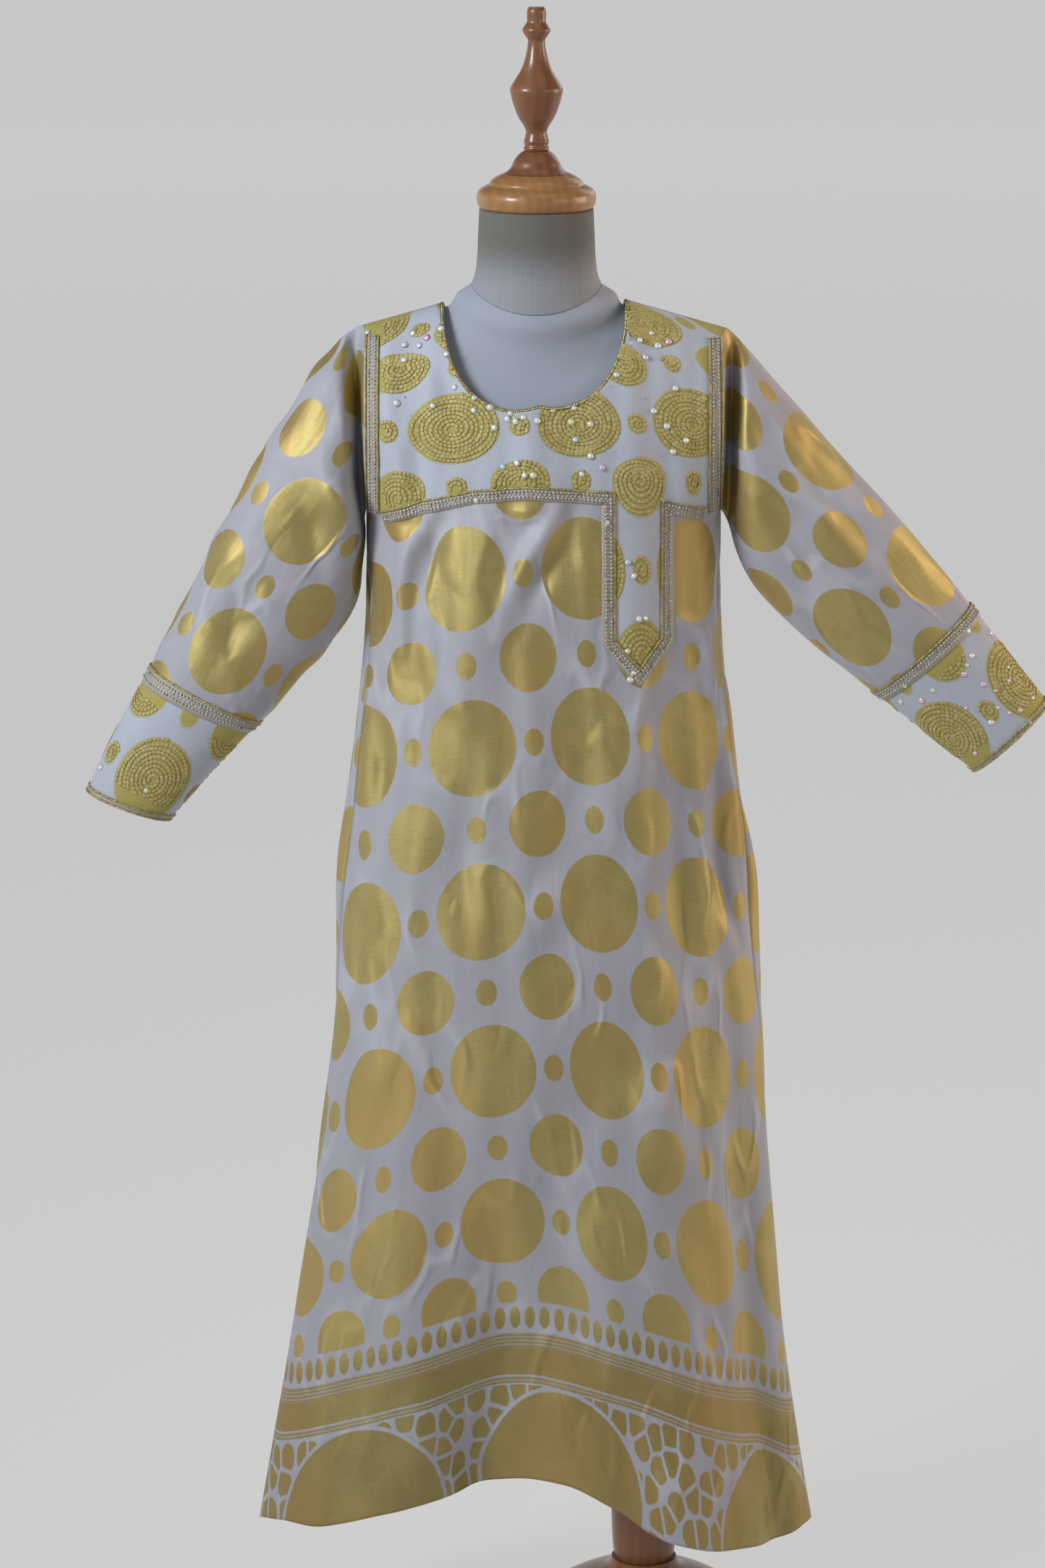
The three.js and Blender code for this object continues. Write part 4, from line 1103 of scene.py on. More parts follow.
@dataclass
class BodyPanel(ClothSheet):
    """One body panel: a single sheet from the shoulder lines to the hem.

    Attributes:
        side: Which panel it is.
        shoulder_columns: Columns of points from an armhole to the neck.
        neck_columns: Columns across the neckline.
        skirt_rows: Rows below the underarm.
        chest_rows: Rows above it.
        wall: The cloth's thickness in metres.
    """

    side: Side
    shoulder_columns: int = 24
    neck_columns: int = 94
    skirt_rows: int = 208
    chest_rows: int = 62
    wall: float = 0.0013

    def __post_init__(self) -> None:
        """Work out the curves through the tables."""
        self.half_width, self.shift, self.front, self.back = columns(SECTIONS)
        self.seam_left, self.seam_right = columns(SEAMS)
        self.hem = columns(self.side.hem)[0]

    def fold_depth(self, angle: Array, z: Array) -> Array:
        """Rise of the large folds at an angle, in degrees, and a height."""
        total = np.zeros(angle.shape)
        for top, low, top_z, depth, width in self.side.folds:
            rise = np.clip((top_z - z) / (top_z - HEM_Z), 0, 1)
            away = np.radians(angle - blend(top, low, rise)) * self.half_width(z) / width
            total += depth * rise**1.4 * np.exp(-away * away)
        return total

    def skirt(self, share: Array, rise: Array) -> tuple[Array, Array]:
        """Points below the underarm.

        Args:
            share: Place across, from -1 at the left seam to 1 at the right one.
            rise: Share of the way from the hem to the underarm.

        Returns:
            The points, and their bearing from the panel's middle in radians.
        """
        reach = np.where(share < 0, self.seam_left(rise), self.seam_right(rise))
        angle = share * (reach if self.side.sign < 0 else 180 - reach)
        z = blend(self.hem(np.clip(angle, -90, 90)), UNDERARM, rise)
        half = self.half_width(z)
        turn = np.radians(angle) - np.sign(share) * np.abs(share) ** 40 * (0.2 / half)
        fronted = (self.side.sign < 0) != (np.cos(turn) < 0)
        depth = np.where(fronted, self.front(z), self.back(z))
        fold = self.fold_depth(angle, z) * (1 - np.abs(share) ** 6)
        sine, cosine = np.sin(turn), np.cos(turn)
        size = np.hypot(sine * depth, cosine * half)
        x = self.shift(z) + sine * half + sine * depth / size * fold
        y = self.side.sign * (cosine * depth + cosine * half / size * fold)
        return np.stack([x, y, z], -1), np.radians(angle)

    def chest_points(self, across: Array, up: Array) -> tuple[Array, Array]:
        """Points above the underarm, by place across and share of the way to the shoulder line."""
        sideways = np.minimum(1, np.abs(across - ARM_SHIFT) / ARM_HALF)
        middle = self.side.chest * np.sqrt(np.maximum(0, 1 - up**self.side.fullness))
        seam = 50.0 * oval(up, 0.7)
        roundness = blend(0.5, 0.8, np.minimum(1, up / 0.3))
        reach = seam + np.maximum(0, middle - seam) * (1 - sideways * sideways) ** roundness
        z = blend(UNDERARM, shoulder_height(across), up)
        points = np.stack([across, self.side.sign * np.maximum(0.2, reach), z], -1)
        return points, np.arcsin(np.clip((across - ARM_SHIFT) / ARM_HALF, -1, 1))

    def neck_edge(self, turn: Array) -> tuple[Array, Array]:
        """The neckline at an angle from its middle, as place across and share of the way up."""
        across = NECK_MIDDLE + NECK_HALF * np.sin(turn)
        up = 1 - self.side.neck_depth * np.cos(turn) / (shoulder_height(across) - UNDERARM)
        return across, np.minimum(1, up)

    def grid(self) -> tuple[Array, Array]:
        """The panel's grid of points before its creases.

        Returns:
            Points and bearings, row by row from the hem.
        """
        low, high = ARM_SHIFT - ARM_HALF, ARM_SHIFT + ARM_HALF
        left, right = NECK_MIDDLE - NECK_HALF, NECK_MIDDLE + NECK_HALF
        neck_x, neck_up = self.neck_edge(np.pi * (np.linspace(0, 1, self.neck_columns + 1) - 0.5))
        steps = np.arange(self.shoulder_columns) / self.shoulder_columns
        across = np.concatenate([blend(low, left, steps), neck_x, blend(high, right, steps)[::-1]])
        top = np.concatenate([np.ones(steps.size), neck_up, np.ones(steps.size)])
        even = np.linspace(-1, 1, across.size)
        around = np.arcsin(np.clip((across - ARM_SHIFT) / ARM_HALF, -1, 1)) / (np.pi / 2)
        points, bearings = [], []
        for row in range(self.skirt_rows + 1):
            rise = np.full(across.size, row / self.skirt_rows)
            made = self.skirt(blend(even, around, rise**3), rise)
            points.append(made[0])
            bearings.append(made[1])
        for row in range(1, self.chest_rows + 1):
            climb = row / self.chest_rows
            made = self.chest_points(across, top * (1 - (1 - climb) ** 1.5))
            points.append(made[0])
            bearings.append(made[1])
        return np.array(points), np.array(bearings)

    def crease_relief(self, bearing: Array, points: Array) -> Array:
        """Rise of the small creases over the whole grid, fading into the seams that other pieces join."""
        z = points[..., 2]
        spot = bearing * BEARING_SPAN
        total = ripple(spot, z, 1.0 if self.side.sign < 0 else 2.3) * (1 - np.abs(np.sin(bearing)) ** 10)
        for crease in self.side.creases:
            moved = []
            for across, up in crease.points:
                sine = np.clip((across - self.shift(up)) / self.half_width(up), -1, 1)
                moved.append((float(np.arcsin(sine)) * BEARING_SPAN, up))
            fitted = replace(crease, points=tuple(moved))
            total += fitted.relief(spot, z) * (1 - np.abs(np.sin(bearing)) ** 24)
        for crease in SEAM_CREASES:
            moved = []
            for degrees, up in crease.points:
                own = degrees if self.side.sign < 0 else math.copysign(180 - abs(degrees), degrees)
                moved.append((math.radians(own) * BEARING_SPAN, up))
            total += replace(crease, points=tuple(moved)).relief(spot, z)
        arm = soft_step(np.abs(points[..., 0] - ARM_SHIFT), 150, 166) * soft_step(z, 1060, 1112)
        shoulder = soft_step(z - (shoulder_height(points[..., 0]) - 34), 0, 30)
        return total * (1 - arm) * (1 - shoulder)

    def cloth_uv(self, points: Array) -> Array:
        """Place of each point on the flat cloth, in metres.

        Args:
            points: The grid before its small creases.

        Returns:
            Across and along for each point.
        """
        x, z = points[..., 0], points[..., 2]
        steps = np.hypot(np.diff(x, axis=1), np.diff(points[..., 1], axis=1))
        arc = np.concatenate([np.zeros((x.shape[0], 1)), np.cumsum(steps, axis=1)], axis=1)
        u = np.empty_like(x)
        for row in range(x.shape[0]):
            centre, *halves = interpolate(z[row], COLUMN_STEP)
            place = np.argmin(np.abs(x[row] - centre) + 1e3 * (np.abs(points[row, :, 1]) < 1))
            away = arc[row] - np.interp(float(centre[place]), *self.rising(x[row], arc[row]))
            u[row] = away / np.where(away < 0, *halves) * (Brocade.across / 2)
        crest, *falls = interpolate(z, ROW_FALL)
        away = x - crest
        fall, late = np.where(away < 0, *falls[:2]), np.where(away < 0, *falls[2:])
        height = z + fall * (np.abs(away) / FALL_REACH) ** late
        return np.stack([u, interpolate(height, ALONG_CLOTH)[0]], -1)

    @staticmethod
    def rising(x: Array, arc: Array) -> tuple[Array, Array]:
        """The middle stretch of a row, where its place across rises steadily."""
        low, high = int(np.argmin(x)), int(np.argmax(x))
        return x[low:high + 1], arc[low:high + 1]

    def embroidered(self, points: Array) -> Array:
        """1 on the yoke and its tab, otherwise 0."""
        if self.side.sign > 0:
            return np.zeros(points.shape[:-1])
        outline = [*YOKE_EDGE, (190.0, 1120.0), *YOKE_TOP, (-190.0, 1120.0)]
        return inside_outline(points[..., 0], points[..., 2], outline)

    def build(self, *finishes: bpy.types.Material) -> bpy.types.Object:
        """Make the panel, with the finishes of its outer and its inner face."""
        points, bearings = self.grid()
        normal = unit(np.cross(np.gradient(points, axis=1), np.gradient(points, axis=0))) * -self.side.sign
        raised = points + normal * self.crease_relief(bearings, points)[..., None]
        return self.sheet(self.side.name, raised, self.cloth_uv(points), self.embroidered(points), finishes,
                          closed=False, flip=self.side.sign > 0)

    def drape(self, spots: Array, lift: float) -> tuple[Array, Array]:
        """Lay spots on the finished cloth.

        Args:
            spots: Places across and up, in table millimetres.
            lift: Height above the cloth in millimetres.

        Returns:
            The places in the frame, in metres, and the way out from the cloth at each.
        """
        places, outs = [], []
        for across, up in np.asarray(spots, float):
            start = world(np.array([across, self.side.sign * 400.0, up]))
            hit, normal, _, _ = self.skin.ray_cast(Vector(start), Vector((0.0, -self.side.sign, 0.0)))
            if hit is None:
                near = world(np.array([across, self.side.sign * 40.0, up]))
                hit, normal, _, _ = self.skin.find_nearest(Vector(near))
            places.append(np.array(hit) + np.array(normal) * lift * MM)
            outs.append(np.array(normal))
        return np.array(places), np.array(outs)


# ------------------------------------------------------------------ sleeves

SLEEVE_LEFT = (
    (164.4, 1295, 164.4, 1118, 50, 50, 0.7), (169.5, 1293.5, 166, 1108, 15, 32, 0.7),
    (177, 1289, 167, 1092, 8, 27, 0.68), (188, 1280.5, 167.8, 1076, 42, 40, 0.62),
    (201, 1267, 168.8, 1060, 53, 47, 0.58), (218, 1245, 170.5, 1043, 56, 50, 0.55),
    (241, 1210, 175.5, 1025, 55, 50, 0.52), (268, 1165, 186, 1006, 52, 48, 0.5),
    (297, 1111, 203, 984, 48, 45, 0.5), (325, 1060, 224, 959, 44, 42, 0.5),
    (350, 1009, 247, 934, 41, 39, 0.5), (374, 962, 270, 910, 38, 36, 0.5),
    (398, 920, 301, 878, 34, 33, 0.5), (417, 883, 329, 847, 31, 30, 0.5),
    (434, 846, 355, 817, 29, 28, 0.5),
)
SLEEVE_RIGHT = (
    (172.4, 1292.8, 172.4, 1118, 50, 50, 0.7), (176.5, 1291, 176, 1114, 20, 34, 0.7),
    (183.5, 1285, 179.5, 1108, 12, 29, 0.68), (193, 1275.5, 183, 1099, 43, 40, 0.62),
    (207, 1260, 186.5, 1088, 52, 47, 0.58), (226, 1238, 190.5, 1076, 55, 50, 0.55),
    (250, 1212, 196, 1062, 54, 50, 0.52), (278, 1180, 205, 1046, 52, 48, 0.5),
    (308, 1146, 221, 1027, 49, 46, 0.5), (338, 1112, 243, 1005, 46, 43, 0.5),
    (366, 1080, 270, 981, 43, 41, 0.5), (391, 1051, 297, 960, 41, 39, 0.5),
    (414, 1023, 322, 940, 38, 36, 0.5), (440, 991, 354, 915, 34, 33, 0.5),
    (464, 960, 386, 889, 31, 30, 0.5), (487, 932, 417, 865, 29, 28, 0.5),
)


@dataclass
class Sleeve(ClothSheet):
    """One sleeve: a tapering tube of cloth, open at the armhole and the mouth.

    Attributes:
        name: The sleeve's name.
        sections: Upper edge, lower edge, reach before and behind, and the oval's pointedness.
        sign: -1 at the wearer's right, 1 at the left.
        cuff_from: Section at which the embroidered cuff starts.
        origin: A figure's middle on the sleeve's front, as place across and height.
        heading: The way along the sleeve from there.
        period: Length of one repeat along the sleeve, in millimetres.
        breadth: Width of one repeat round it.
        start: That figure's place in the repeat, across and along.
        creases: Small creases of the front, by place across and height.
        back_creases: Small creases of the back.
        around: Points round the tube.
        rows: Rows of points along it.
        wall: The cloth's thickness in metres.
    """

    name: str
    sections: Rows
    sign: int
    cuff_from: float
    origin: tuple[float, float]
    heading: tuple[float, float]
    period: float
    breadth: float
    start: tuple[float, float]
    creases: tuple[Crease, ...]
    back_creases: tuple[Crease, ...]
    around: int = 120
    rows: int = 168
    wall: float = 0.0013

    def __post_init__(self) -> None:
        """Work out the curves through the sections."""
        self.curves = columns([(k, *row) for k, row in enumerate(self.sections)])
        self.last = len(self.sections) - 1

    def surface(self, turn: Array, index: Array, outset: float = 0.0) -> Array:
        """Points of the tube before its creases.

        Args:
            turn: Share of the way round, from the lower edge over the front.
            index: Place along, counted in sections.
            outset: How far outside the cloth's face, in millimetres.

        Returns:
            The points.
        """
        turn, index = np.broadcast_arrays(np.asarray(turn, float), np.asarray(index, float))
        upper_x, upper_z, lower_x, lower_z, front, back, point = (curve(index) for curve in self.curves)
        size = np.hypot(upper_x - lower_x, upper_z - lower_z)
        along_x, along_z = (upper_x - lower_x) / size, (upper_z - lower_z) / size
        share = (1 - np.cos(2 * np.pi * turn)) / 2
        before = (turn % 1.0) < 0.5
        reach = np.where(before, front, back) + outset
        travel = share * (size + 2 * outset) - outset
        depth = np.where(before, -1.0, 1.0) * reach * oval(share, point)
        return np.stack([self.sign * (lower_x + along_x * travel), depth, lower_z + along_z * travel], -1)

    def outwards(self, turn: Array, index: Array) -> Array:
        """The way out from the tube at places on it."""
        turn, index = np.asarray(turn), np.asarray(index)
        around = self.surface(turn + 0.002, index) - self.surface(turn - 0.002, index)
        along = self.surface(turn, index + 0.02) - self.surface(turn, index - 0.02)
        return unit(np.cross(around, along)) * -self.sign

    def cloth_uv(self, points: Array) -> Array:
        """Place on the flat cloth of a grid of points that goes once round, seam to seam."""
        heading = np.asarray(self.heading) / np.hypot(*self.heading)
        x, z = points[..., 0] - self.origin[0], points[..., 2] - self.origin[1]
        along = x * heading[0] + z * heading[1]
        beside = x * -heading[1] + z * heading[0]
        steps = np.hypot(np.diff(beside, axis=1), np.diff(points[..., 1], axis=1))
        arc = np.concatenate([np.zeros((x.shape[0], 1)), np.cumsum(steps, axis=1)], axis=1)
        half = points.shape[1] // 2
        u = np.empty_like(x)
        for row in range(x.shape[0]):
            front, lengths = beside[row, :half + 1], arc[row, :half + 1]
            order = np.argsort(front)
            middle = np.interp(0.0, front[order], lengths[order])
            u[row] = (arc[row] - middle) / self.breadth * Brocade.across
        v = -along / self.period * Brocade.along
        return np.stack([u + self.start[0], v + self.start[1]], -1)

    def crease_relief(self, points: Array, turn: Array, index: Array) -> Array:
        """Rise of the small creases, fading into the armhole and the cuff."""
        x, z = points[..., 0], points[..., 2]
        total = ripple(x * 0.7 + z * 0.7, x * -0.7 + z * 0.7, 3.1 + self.sign) * 0.8
        seams = np.abs(np.sin(2 * np.pi * turn)) ** 0.5
        for creases, shown in ((self.creases, turn % 1 < 0.5), (self.back_creases, turn % 1 > 0.5)):
            for crease in creases:
                total += crease.relief(x, z) * shown * seams
        cuff = soft_step(index, self.cuff_from - 0.8, self.cuff_from + 0.2)
        return total * soft_step(index, 0.2, 1.6) * (1 - cuff)

    def build(self, *finishes: bpy.types.Material) -> bpy.types.Object:
        """Make the sleeve, with the finishes of its outer and its inner face."""
        turn, index = np.meshgrid(np.arange(self.around + 1) / self.around,
                                  np.linspace(0, self.last, self.rows))
        points = self.surface(turn, index)
        outs = self.outwards(turn, np.clip(index, 0.02, self.last - 0.02))
        raised = points + outs * self.crease_relief(points, turn, index)[..., None]
        return self.sheet(self.name, raised, self.cloth_uv(points), index[:, :-1] > self.cuff_from,
                          finishes, closed=True, flip=self.sign > 0)

    def ring(self, index: float, lift: float, steps: int = 160) -> tuple[Array, Array]:
        """A closed line round the sleeve.

        Args:
            index: Place along, counted in sections.
            lift: Height above the cloth in millimetres.
            steps: Number of points.

        Returns:
            The places in the frame, in metres, and the way out at each.
        """
        turn = np.arange(steps) / steps
        place = np.full(steps, min(index, self.last - 0.02))
        outs = self.outwards(turn, place)
        return world(self.surface(turn, np.full(steps, index), lift)), outs


# ------------------------------------------------------------------ trims made with Geometry Nodes


class TrimTree:
    """A node tree that sets small trims along paths or at points."""

    def __init__(self, name: str, numbers: dict[str, float]) -> None:
        """Start the tree.

        Args:
            name: The tree's name.
            numbers: Its named inputs and their usual values.
        """
        self.tree = bpy.data.node_groups.new(name, "GeometryNodeTree")
        self.graph = Graph(self.tree)
        interface = self.tree.interface
        interface.new_socket("Geometry", in_out="INPUT", socket_type="NodeSocketGeometry")
        self.keys: dict[str, str] = {}
        for label, value in numbers.items():
            kind = "NodeSocketInt" if isinstance(value, int) else "NodeSocketFloat"
            socket = interface.new_socket(label, in_out="INPUT", socket_type=kind)
            socket.default_value = value
            self.keys[label] = socket.identifier
        finish = interface.new_socket("Finish", in_out="INPUT", socket_type="NodeSocketMaterial")
        self.keys["Finish"] = finish.identifier
        interface.new_socket("Geometry", in_out="OUTPUT", socket_type="NodeSocketGeometry")
        self.entry = self.graph.node("NodeGroupInput")

    def given(self, label: str) -> Socket:
        """The group input's socket of a name."""
        return self.entry.outputs[label]

    def number(self, label: str) -> Value:
        """A named input's number."""
        return Value(self.graph, self.given(label))

    def named(self, name: str, kind: str = "FLOAT") -> Socket:
        """A named attribute of the incoming geometry."""
        return self.graph.out("GeometryNodeInputNamedAttribute", {"Name": name}, data_type=kind)

    def varied(self, low: float, high: float, seed: object) -> Value:
        """A random number for each point."""
        made = self.graph.node("FunctionNodeRandomValue", {"data_type": "FLOAT"},
                               {2: low, 3: high, "Seed": seed})
        return Value(self.graph, made.outputs[1])

    def tinted(self, points: Socket) -> Socket:
        """The points with a random number for each, named "tint"."""
        inputs = {"Geometry": points, "Name": "tint", "Value": self.varied(0.0, 1.0, self.given("Seed"))}
        return self.graph.out("GeometryNodeStoreNamedAttribute", inputs, data_type="FLOAT", domain="POINT")

    def upright(self) -> Socket:
        """The rotation that stands a trim up from the cloth."""
        return self.graph.out("FunctionNodeAlignRotationToVector",
                              {"Vector": self.named("out", "FLOAT_VECTOR")}, axis="Z")

    def turned(self, rotation: Socket, more: Socket) -> Socket:
        """A rotation turned further in its own axes."""
        inputs = {"Rotation": rotation, "Rotate By": more}
        return self.graph.out("FunctionNodeRotateRotation", inputs, rotation_space="LOCAL")

    def change(self) -> Value:
        """How much larger or smaller than usual each trim is, as a factor."""
        return 1 + self.varied(-1.0, 1.0, 7) * self.number("Variation")

    def cone(self, **inputs: object) -> Socket:
        """A low cut-off cone, as a cup sequin or a bead has."""
        return self.graph.out("GeometryNodeMeshCone", {"Vertices": 9, **inputs}, fill_type="NGON")

    def close(self, geometry: Socket, shape: Socket, turned: Socket, size: Socket) -> None:
        """Set the shape at the points, make it real and give it its finish.

        Args:
            geometry: The points.
            shape: The trim's own mesh.
            turned: The rotation at each point.
            size: Its size along, across and high.
        """
        inputs = {"Points": geometry, "Instance": shape, "Rotation": turned, "Scale": size}
        placed = self.graph.out("GeometryNodeInstanceOnPoints", inputs)
        real = self.graph.out("GeometryNodeRealizeInstances", {"Geometry": placed})
        self.dress(self.graph.out("GeometryNodeSetShadeSmooth", {"Geometry": real}))

    def dress(self, geometry: Socket) -> None:
        """Give the geometry its finish and end the tree."""
        inputs = {"Geometry": geometry, "Material": self.given("Finish")}
        self.graph.node("NodeGroupOutput", {}, {0: self.graph.out("GeometryNodeSetMaterial", inputs)})

    def apply(self, piece: bpy.types.Object, finish: bpy.types.Material,
              **numbers: float) -> bpy.types.Object:
        """Run the tree on a piece and keep the result as its mesh.

        Args:
            piece: The object with the paths or points.
            finish: The trim's material.
            numbers: Values of the named inputs.

        Returns:
            The same object.
        """
        modifier = piece.modifiers.new("trim", "NODES")
        modifier.node_group = self.tree
        modifier[self.keys["Finish"]] = finish
        for label, value in numbers.items():
            modifier[self.keys[label]] = value
        return settle(piece)


def stitch_tree() -> TrimTree:
    """The tree that sets stitches or beads along a path.

    The path's points hold "out", the way out from the cloth.
    """
    numbers = {"Spacing": 0.002, "Length": 0.004, "Width": 0.0015, "Height": 0.0012, "Slant": 0.6,
               "Variation": 0.15, "Seed": 1}
    made = TrimTree("stitches_along_path", numbers)
    graph = made.graph
    curve = graph.out("GeometryNodeMeshToCurve", {0: made.given("Geometry")})
    inputs = {"Curve": curve, "Length": made.given("Spacing")}
    points = made.tinted(graph.out("GeometryNodeResampleCurve", inputs, mode="LENGTH"))
    inputs = {"Rotation": made.upright(), "Vector": graph.out("GeometryNodeInputTangent")}
    along = graph.out("FunctionNodeAlignRotationToVector", inputs, axis="X", pivot_axis="Z")
    turned = made.turned(along, graph.join(0.0, 0.0, made.number("Slant")))
    shape = graph.out("GeometryNodeMeshUVSphere", {"Segments": 6, "Rings": 4, "Radius": 0.5})
    usual = graph.join(*(made.number(label) for label in ("Length", "Width", "Height")))
    size = graph.node("ShaderNodeVectorMath", {"operation": "SCALE"}, {0: usual, "Scale": made.change()})
    made.close(points, shape, turned, size.outputs[0])
    return made


def sequin_tree() -> TrimTree:
    """The tree that sets cup sequins at points, which hold "out" and "tint"."""
    made = TrimTree("sequins_at_points",
                    {"Diameter": 0.0066, "Cup": 0.0012, "Variation": 0.12, "Seed": 3})
    radius = made.number("Diameter") * 0.5
    shape = made.cone(**{"Radius Top": radius * 0.45, "Radius Bottom": radius, "Depth": made.given("Cup")})
    points = made.graph.out("GeometryNodeMeshToPoints", {"Mesh": made.given("Geometry")})
    tilt = [made.varied(-0.22, 0.22, seed) for seed in (made.given("Seed"), 11)]
    change = made.change()
    made.close(points, shape, made.turned(made.upright(), made.graph.join(*tilt)),
               made.graph.join(change, change, change))
    return made


def scatter_tree() -> TrimTree:
    """The tree that strews small beads and sequins over a patch of cloth."""
    numbers = {"Density": 900.0, "Spacing": 0.009, "Diameter": 0.004, "Flatness": 0.4, "Seed": 5}
    made = TrimTree("trims_over_patch", numbers)
    graph = made.graph
    inputs = {"Mesh": made.given("Geometry"), "Distance Min": made.given("Spacing"),
              "Density Max": made.given("Density"), "Density Factor": made.named("density"),
              "Seed": made.given("Seed")}
    strewn = graph.node("GeometryNodeDistributePointsOnFaces", {"distribute_method": "POISSON"}, inputs)
    shape = made.cone(**{"Radius Top": 0.22, "Radius Bottom": 0.5, "Depth": 0.6})
    wide = made.number("Diameter") * made.varied(0.7, 1.2, 9)
    size = graph.join(wide, wide, wide * made.number("Flatness"))
    made.close(made.tinted(strewn.outputs["Points"]), shape, strewn.outputs["Rotation"], size)
    return made


@dataclass
class PathSet:
    """Lines on the cloth that trims follow, gathered into one object.

    Attributes:
        name: The object's name.
    """

    name: str

    def __post_init__(self) -> None:
        """Start with no lines."""
        self.points: list[Array] = []
        self.outs: list[Array] = []
        self.edges: list[tuple[int, int]] = []
        self.count = 0

    def add(self, points: Array, outs: Array, closed: bool = False) -> None:
        """Add one line.

        Args:
            points: Its places in the frame, in metres.
            outs: The way out from the cloth at each.
            closed: Whether its last point joins its first.
        """
        size = len(points)
        self.edges += [(self.count + k, self.count + k + 1) for k in range(size - 1)]
        if closed:
            self.edges.append((self.count + size - 1, self.count))
        self.points.append(points)
        self.outs.append(outs)
        self.count += size

    def build(self) -> bpy.types.Object:
        """Make the object that holds the lines."""
        piece = make_lines(self.name, np.concatenate(self.points), self.edges)
        set_share(piece, "out", np.concatenate(self.outs), vector=True)
        return piece


def patch(source: bpy.types.Object, name: str) -> bpy.types.Object:
    """A copy of the embroidered part of a cloth, for trims to be strewn over.

    Args:
        source: The cloth.
        name: The new object's name.

    Returns:
        The patch, with the attribute "density" at 1.
    """
    worked = [item.value > 0.5 for item in source.data.attributes["embroidered"].data]
    corners = [v.co[:] for v in source.data.vertices]
    faces = [tuple(p.vertices) for p in source.data.polygons if all(worked[v] for v in p.vertices)]
    used = sorted({v for face in faces for v in face})
    number = {v: k for k, v in enumerate(used)}
    piece = make_mesh(name, np.array([corners[v] for v in used]),
                      [[number[v] for v in face] for face in faces])
    set_share(piece, "density", np.ones(len(used)))
    return piece


def strip(name: str, edges: Sequence[Array], outs: Array, wall: float, finish: bpy.types.Material,
          closed: bool = False) -> bpy.types.Object:
    """A flat braid between lines that run side by side.

    Args:
        name: The piece's name.
        edges: The lines from one edge to the other, each a row of places in metres.
        outs: The way out from the cloth along the middle line.
        wall: The braid's thickness in metres.
        finish: Its material.
        closed: Whether the braid closes on itself.

    Returns:
        The braid's object.
    """
    wide = len(edges[0])
    middle, probe = len(edges) // 2, wide // 3
    across = edges[-1][probe] - edges[0][probe]
    along = edges[middle][probe + 1] - edges[middle][probe]
    flip = float(np.dot(np.cross(along, across), outs[probe])) < 0
    piece = make_mesh(name, np.concatenate(edges), grid_faces(wide, len(edges), closed, flip))
    ring = [*range(wide)] + ([0] if closed else [])
    run = np.linalg.norm(np.diff(edges[middle][ring], axis=0), axis=1)
    arc = np.concatenate([[0.0], np.cumsum(run)])
    breadth = np.linalg.norm(edges[-1][0] - edges[0][0])
    levels = (np.arange(len(edges)) / (len(edges) - 1) - 0.5) * breadth
    corner_uv = []
    for low, high in zip(levels[:-1], levels[1:]):
        for k in range(wide if closed else wide - 1):
            own = [(arc[k], low), (arc[k + 1], low), (arc[k + 1], high), (arc[k], high)]
            corner_uv.extend(own[::-1] if flip else own)
    set_uv(piece, "braid", corner_uv)
    piece.data.materials.append(finish)
    thicken(piece, wall)
    return piece


def mitred(path: Rows, step: float) -> tuple[Array, Array]:
    """Points along an outline with their sideways direction, mitred at its corners.

    Args:
        path: The outline's corners.
        step: Distance between points in millimetres.

    Returns:
        The points, and the direction to their left.
    """
    corners = np.asarray(path, float)
    spots = [corners[0]]
    for start, end in zip(corners[:-1], corners[1:]):
        pieces = max(1, round(float(np.hypot(*(end - start))) / step))
        spots += [start + (end - start) * k / pieces for k in range(1, pieces + 1)]
    points = np.array(spots)
    arriving = unit(points - np.concatenate([points[:1], points[:-1]]))
    leaving = unit(np.concatenate([points[1:], points[-1:]]) - points)
    arriving[0], leaving[-1] = leaving[0], arriving[-1]
    forward = unit(arriving + leaving)
    mitre = 1 / np.maximum(0.5, np.sum(forward * arriving, -1, keepdims=True))
    return points, np.stack([-forward[:, 1], forward[:, 0]], -1) * mitre


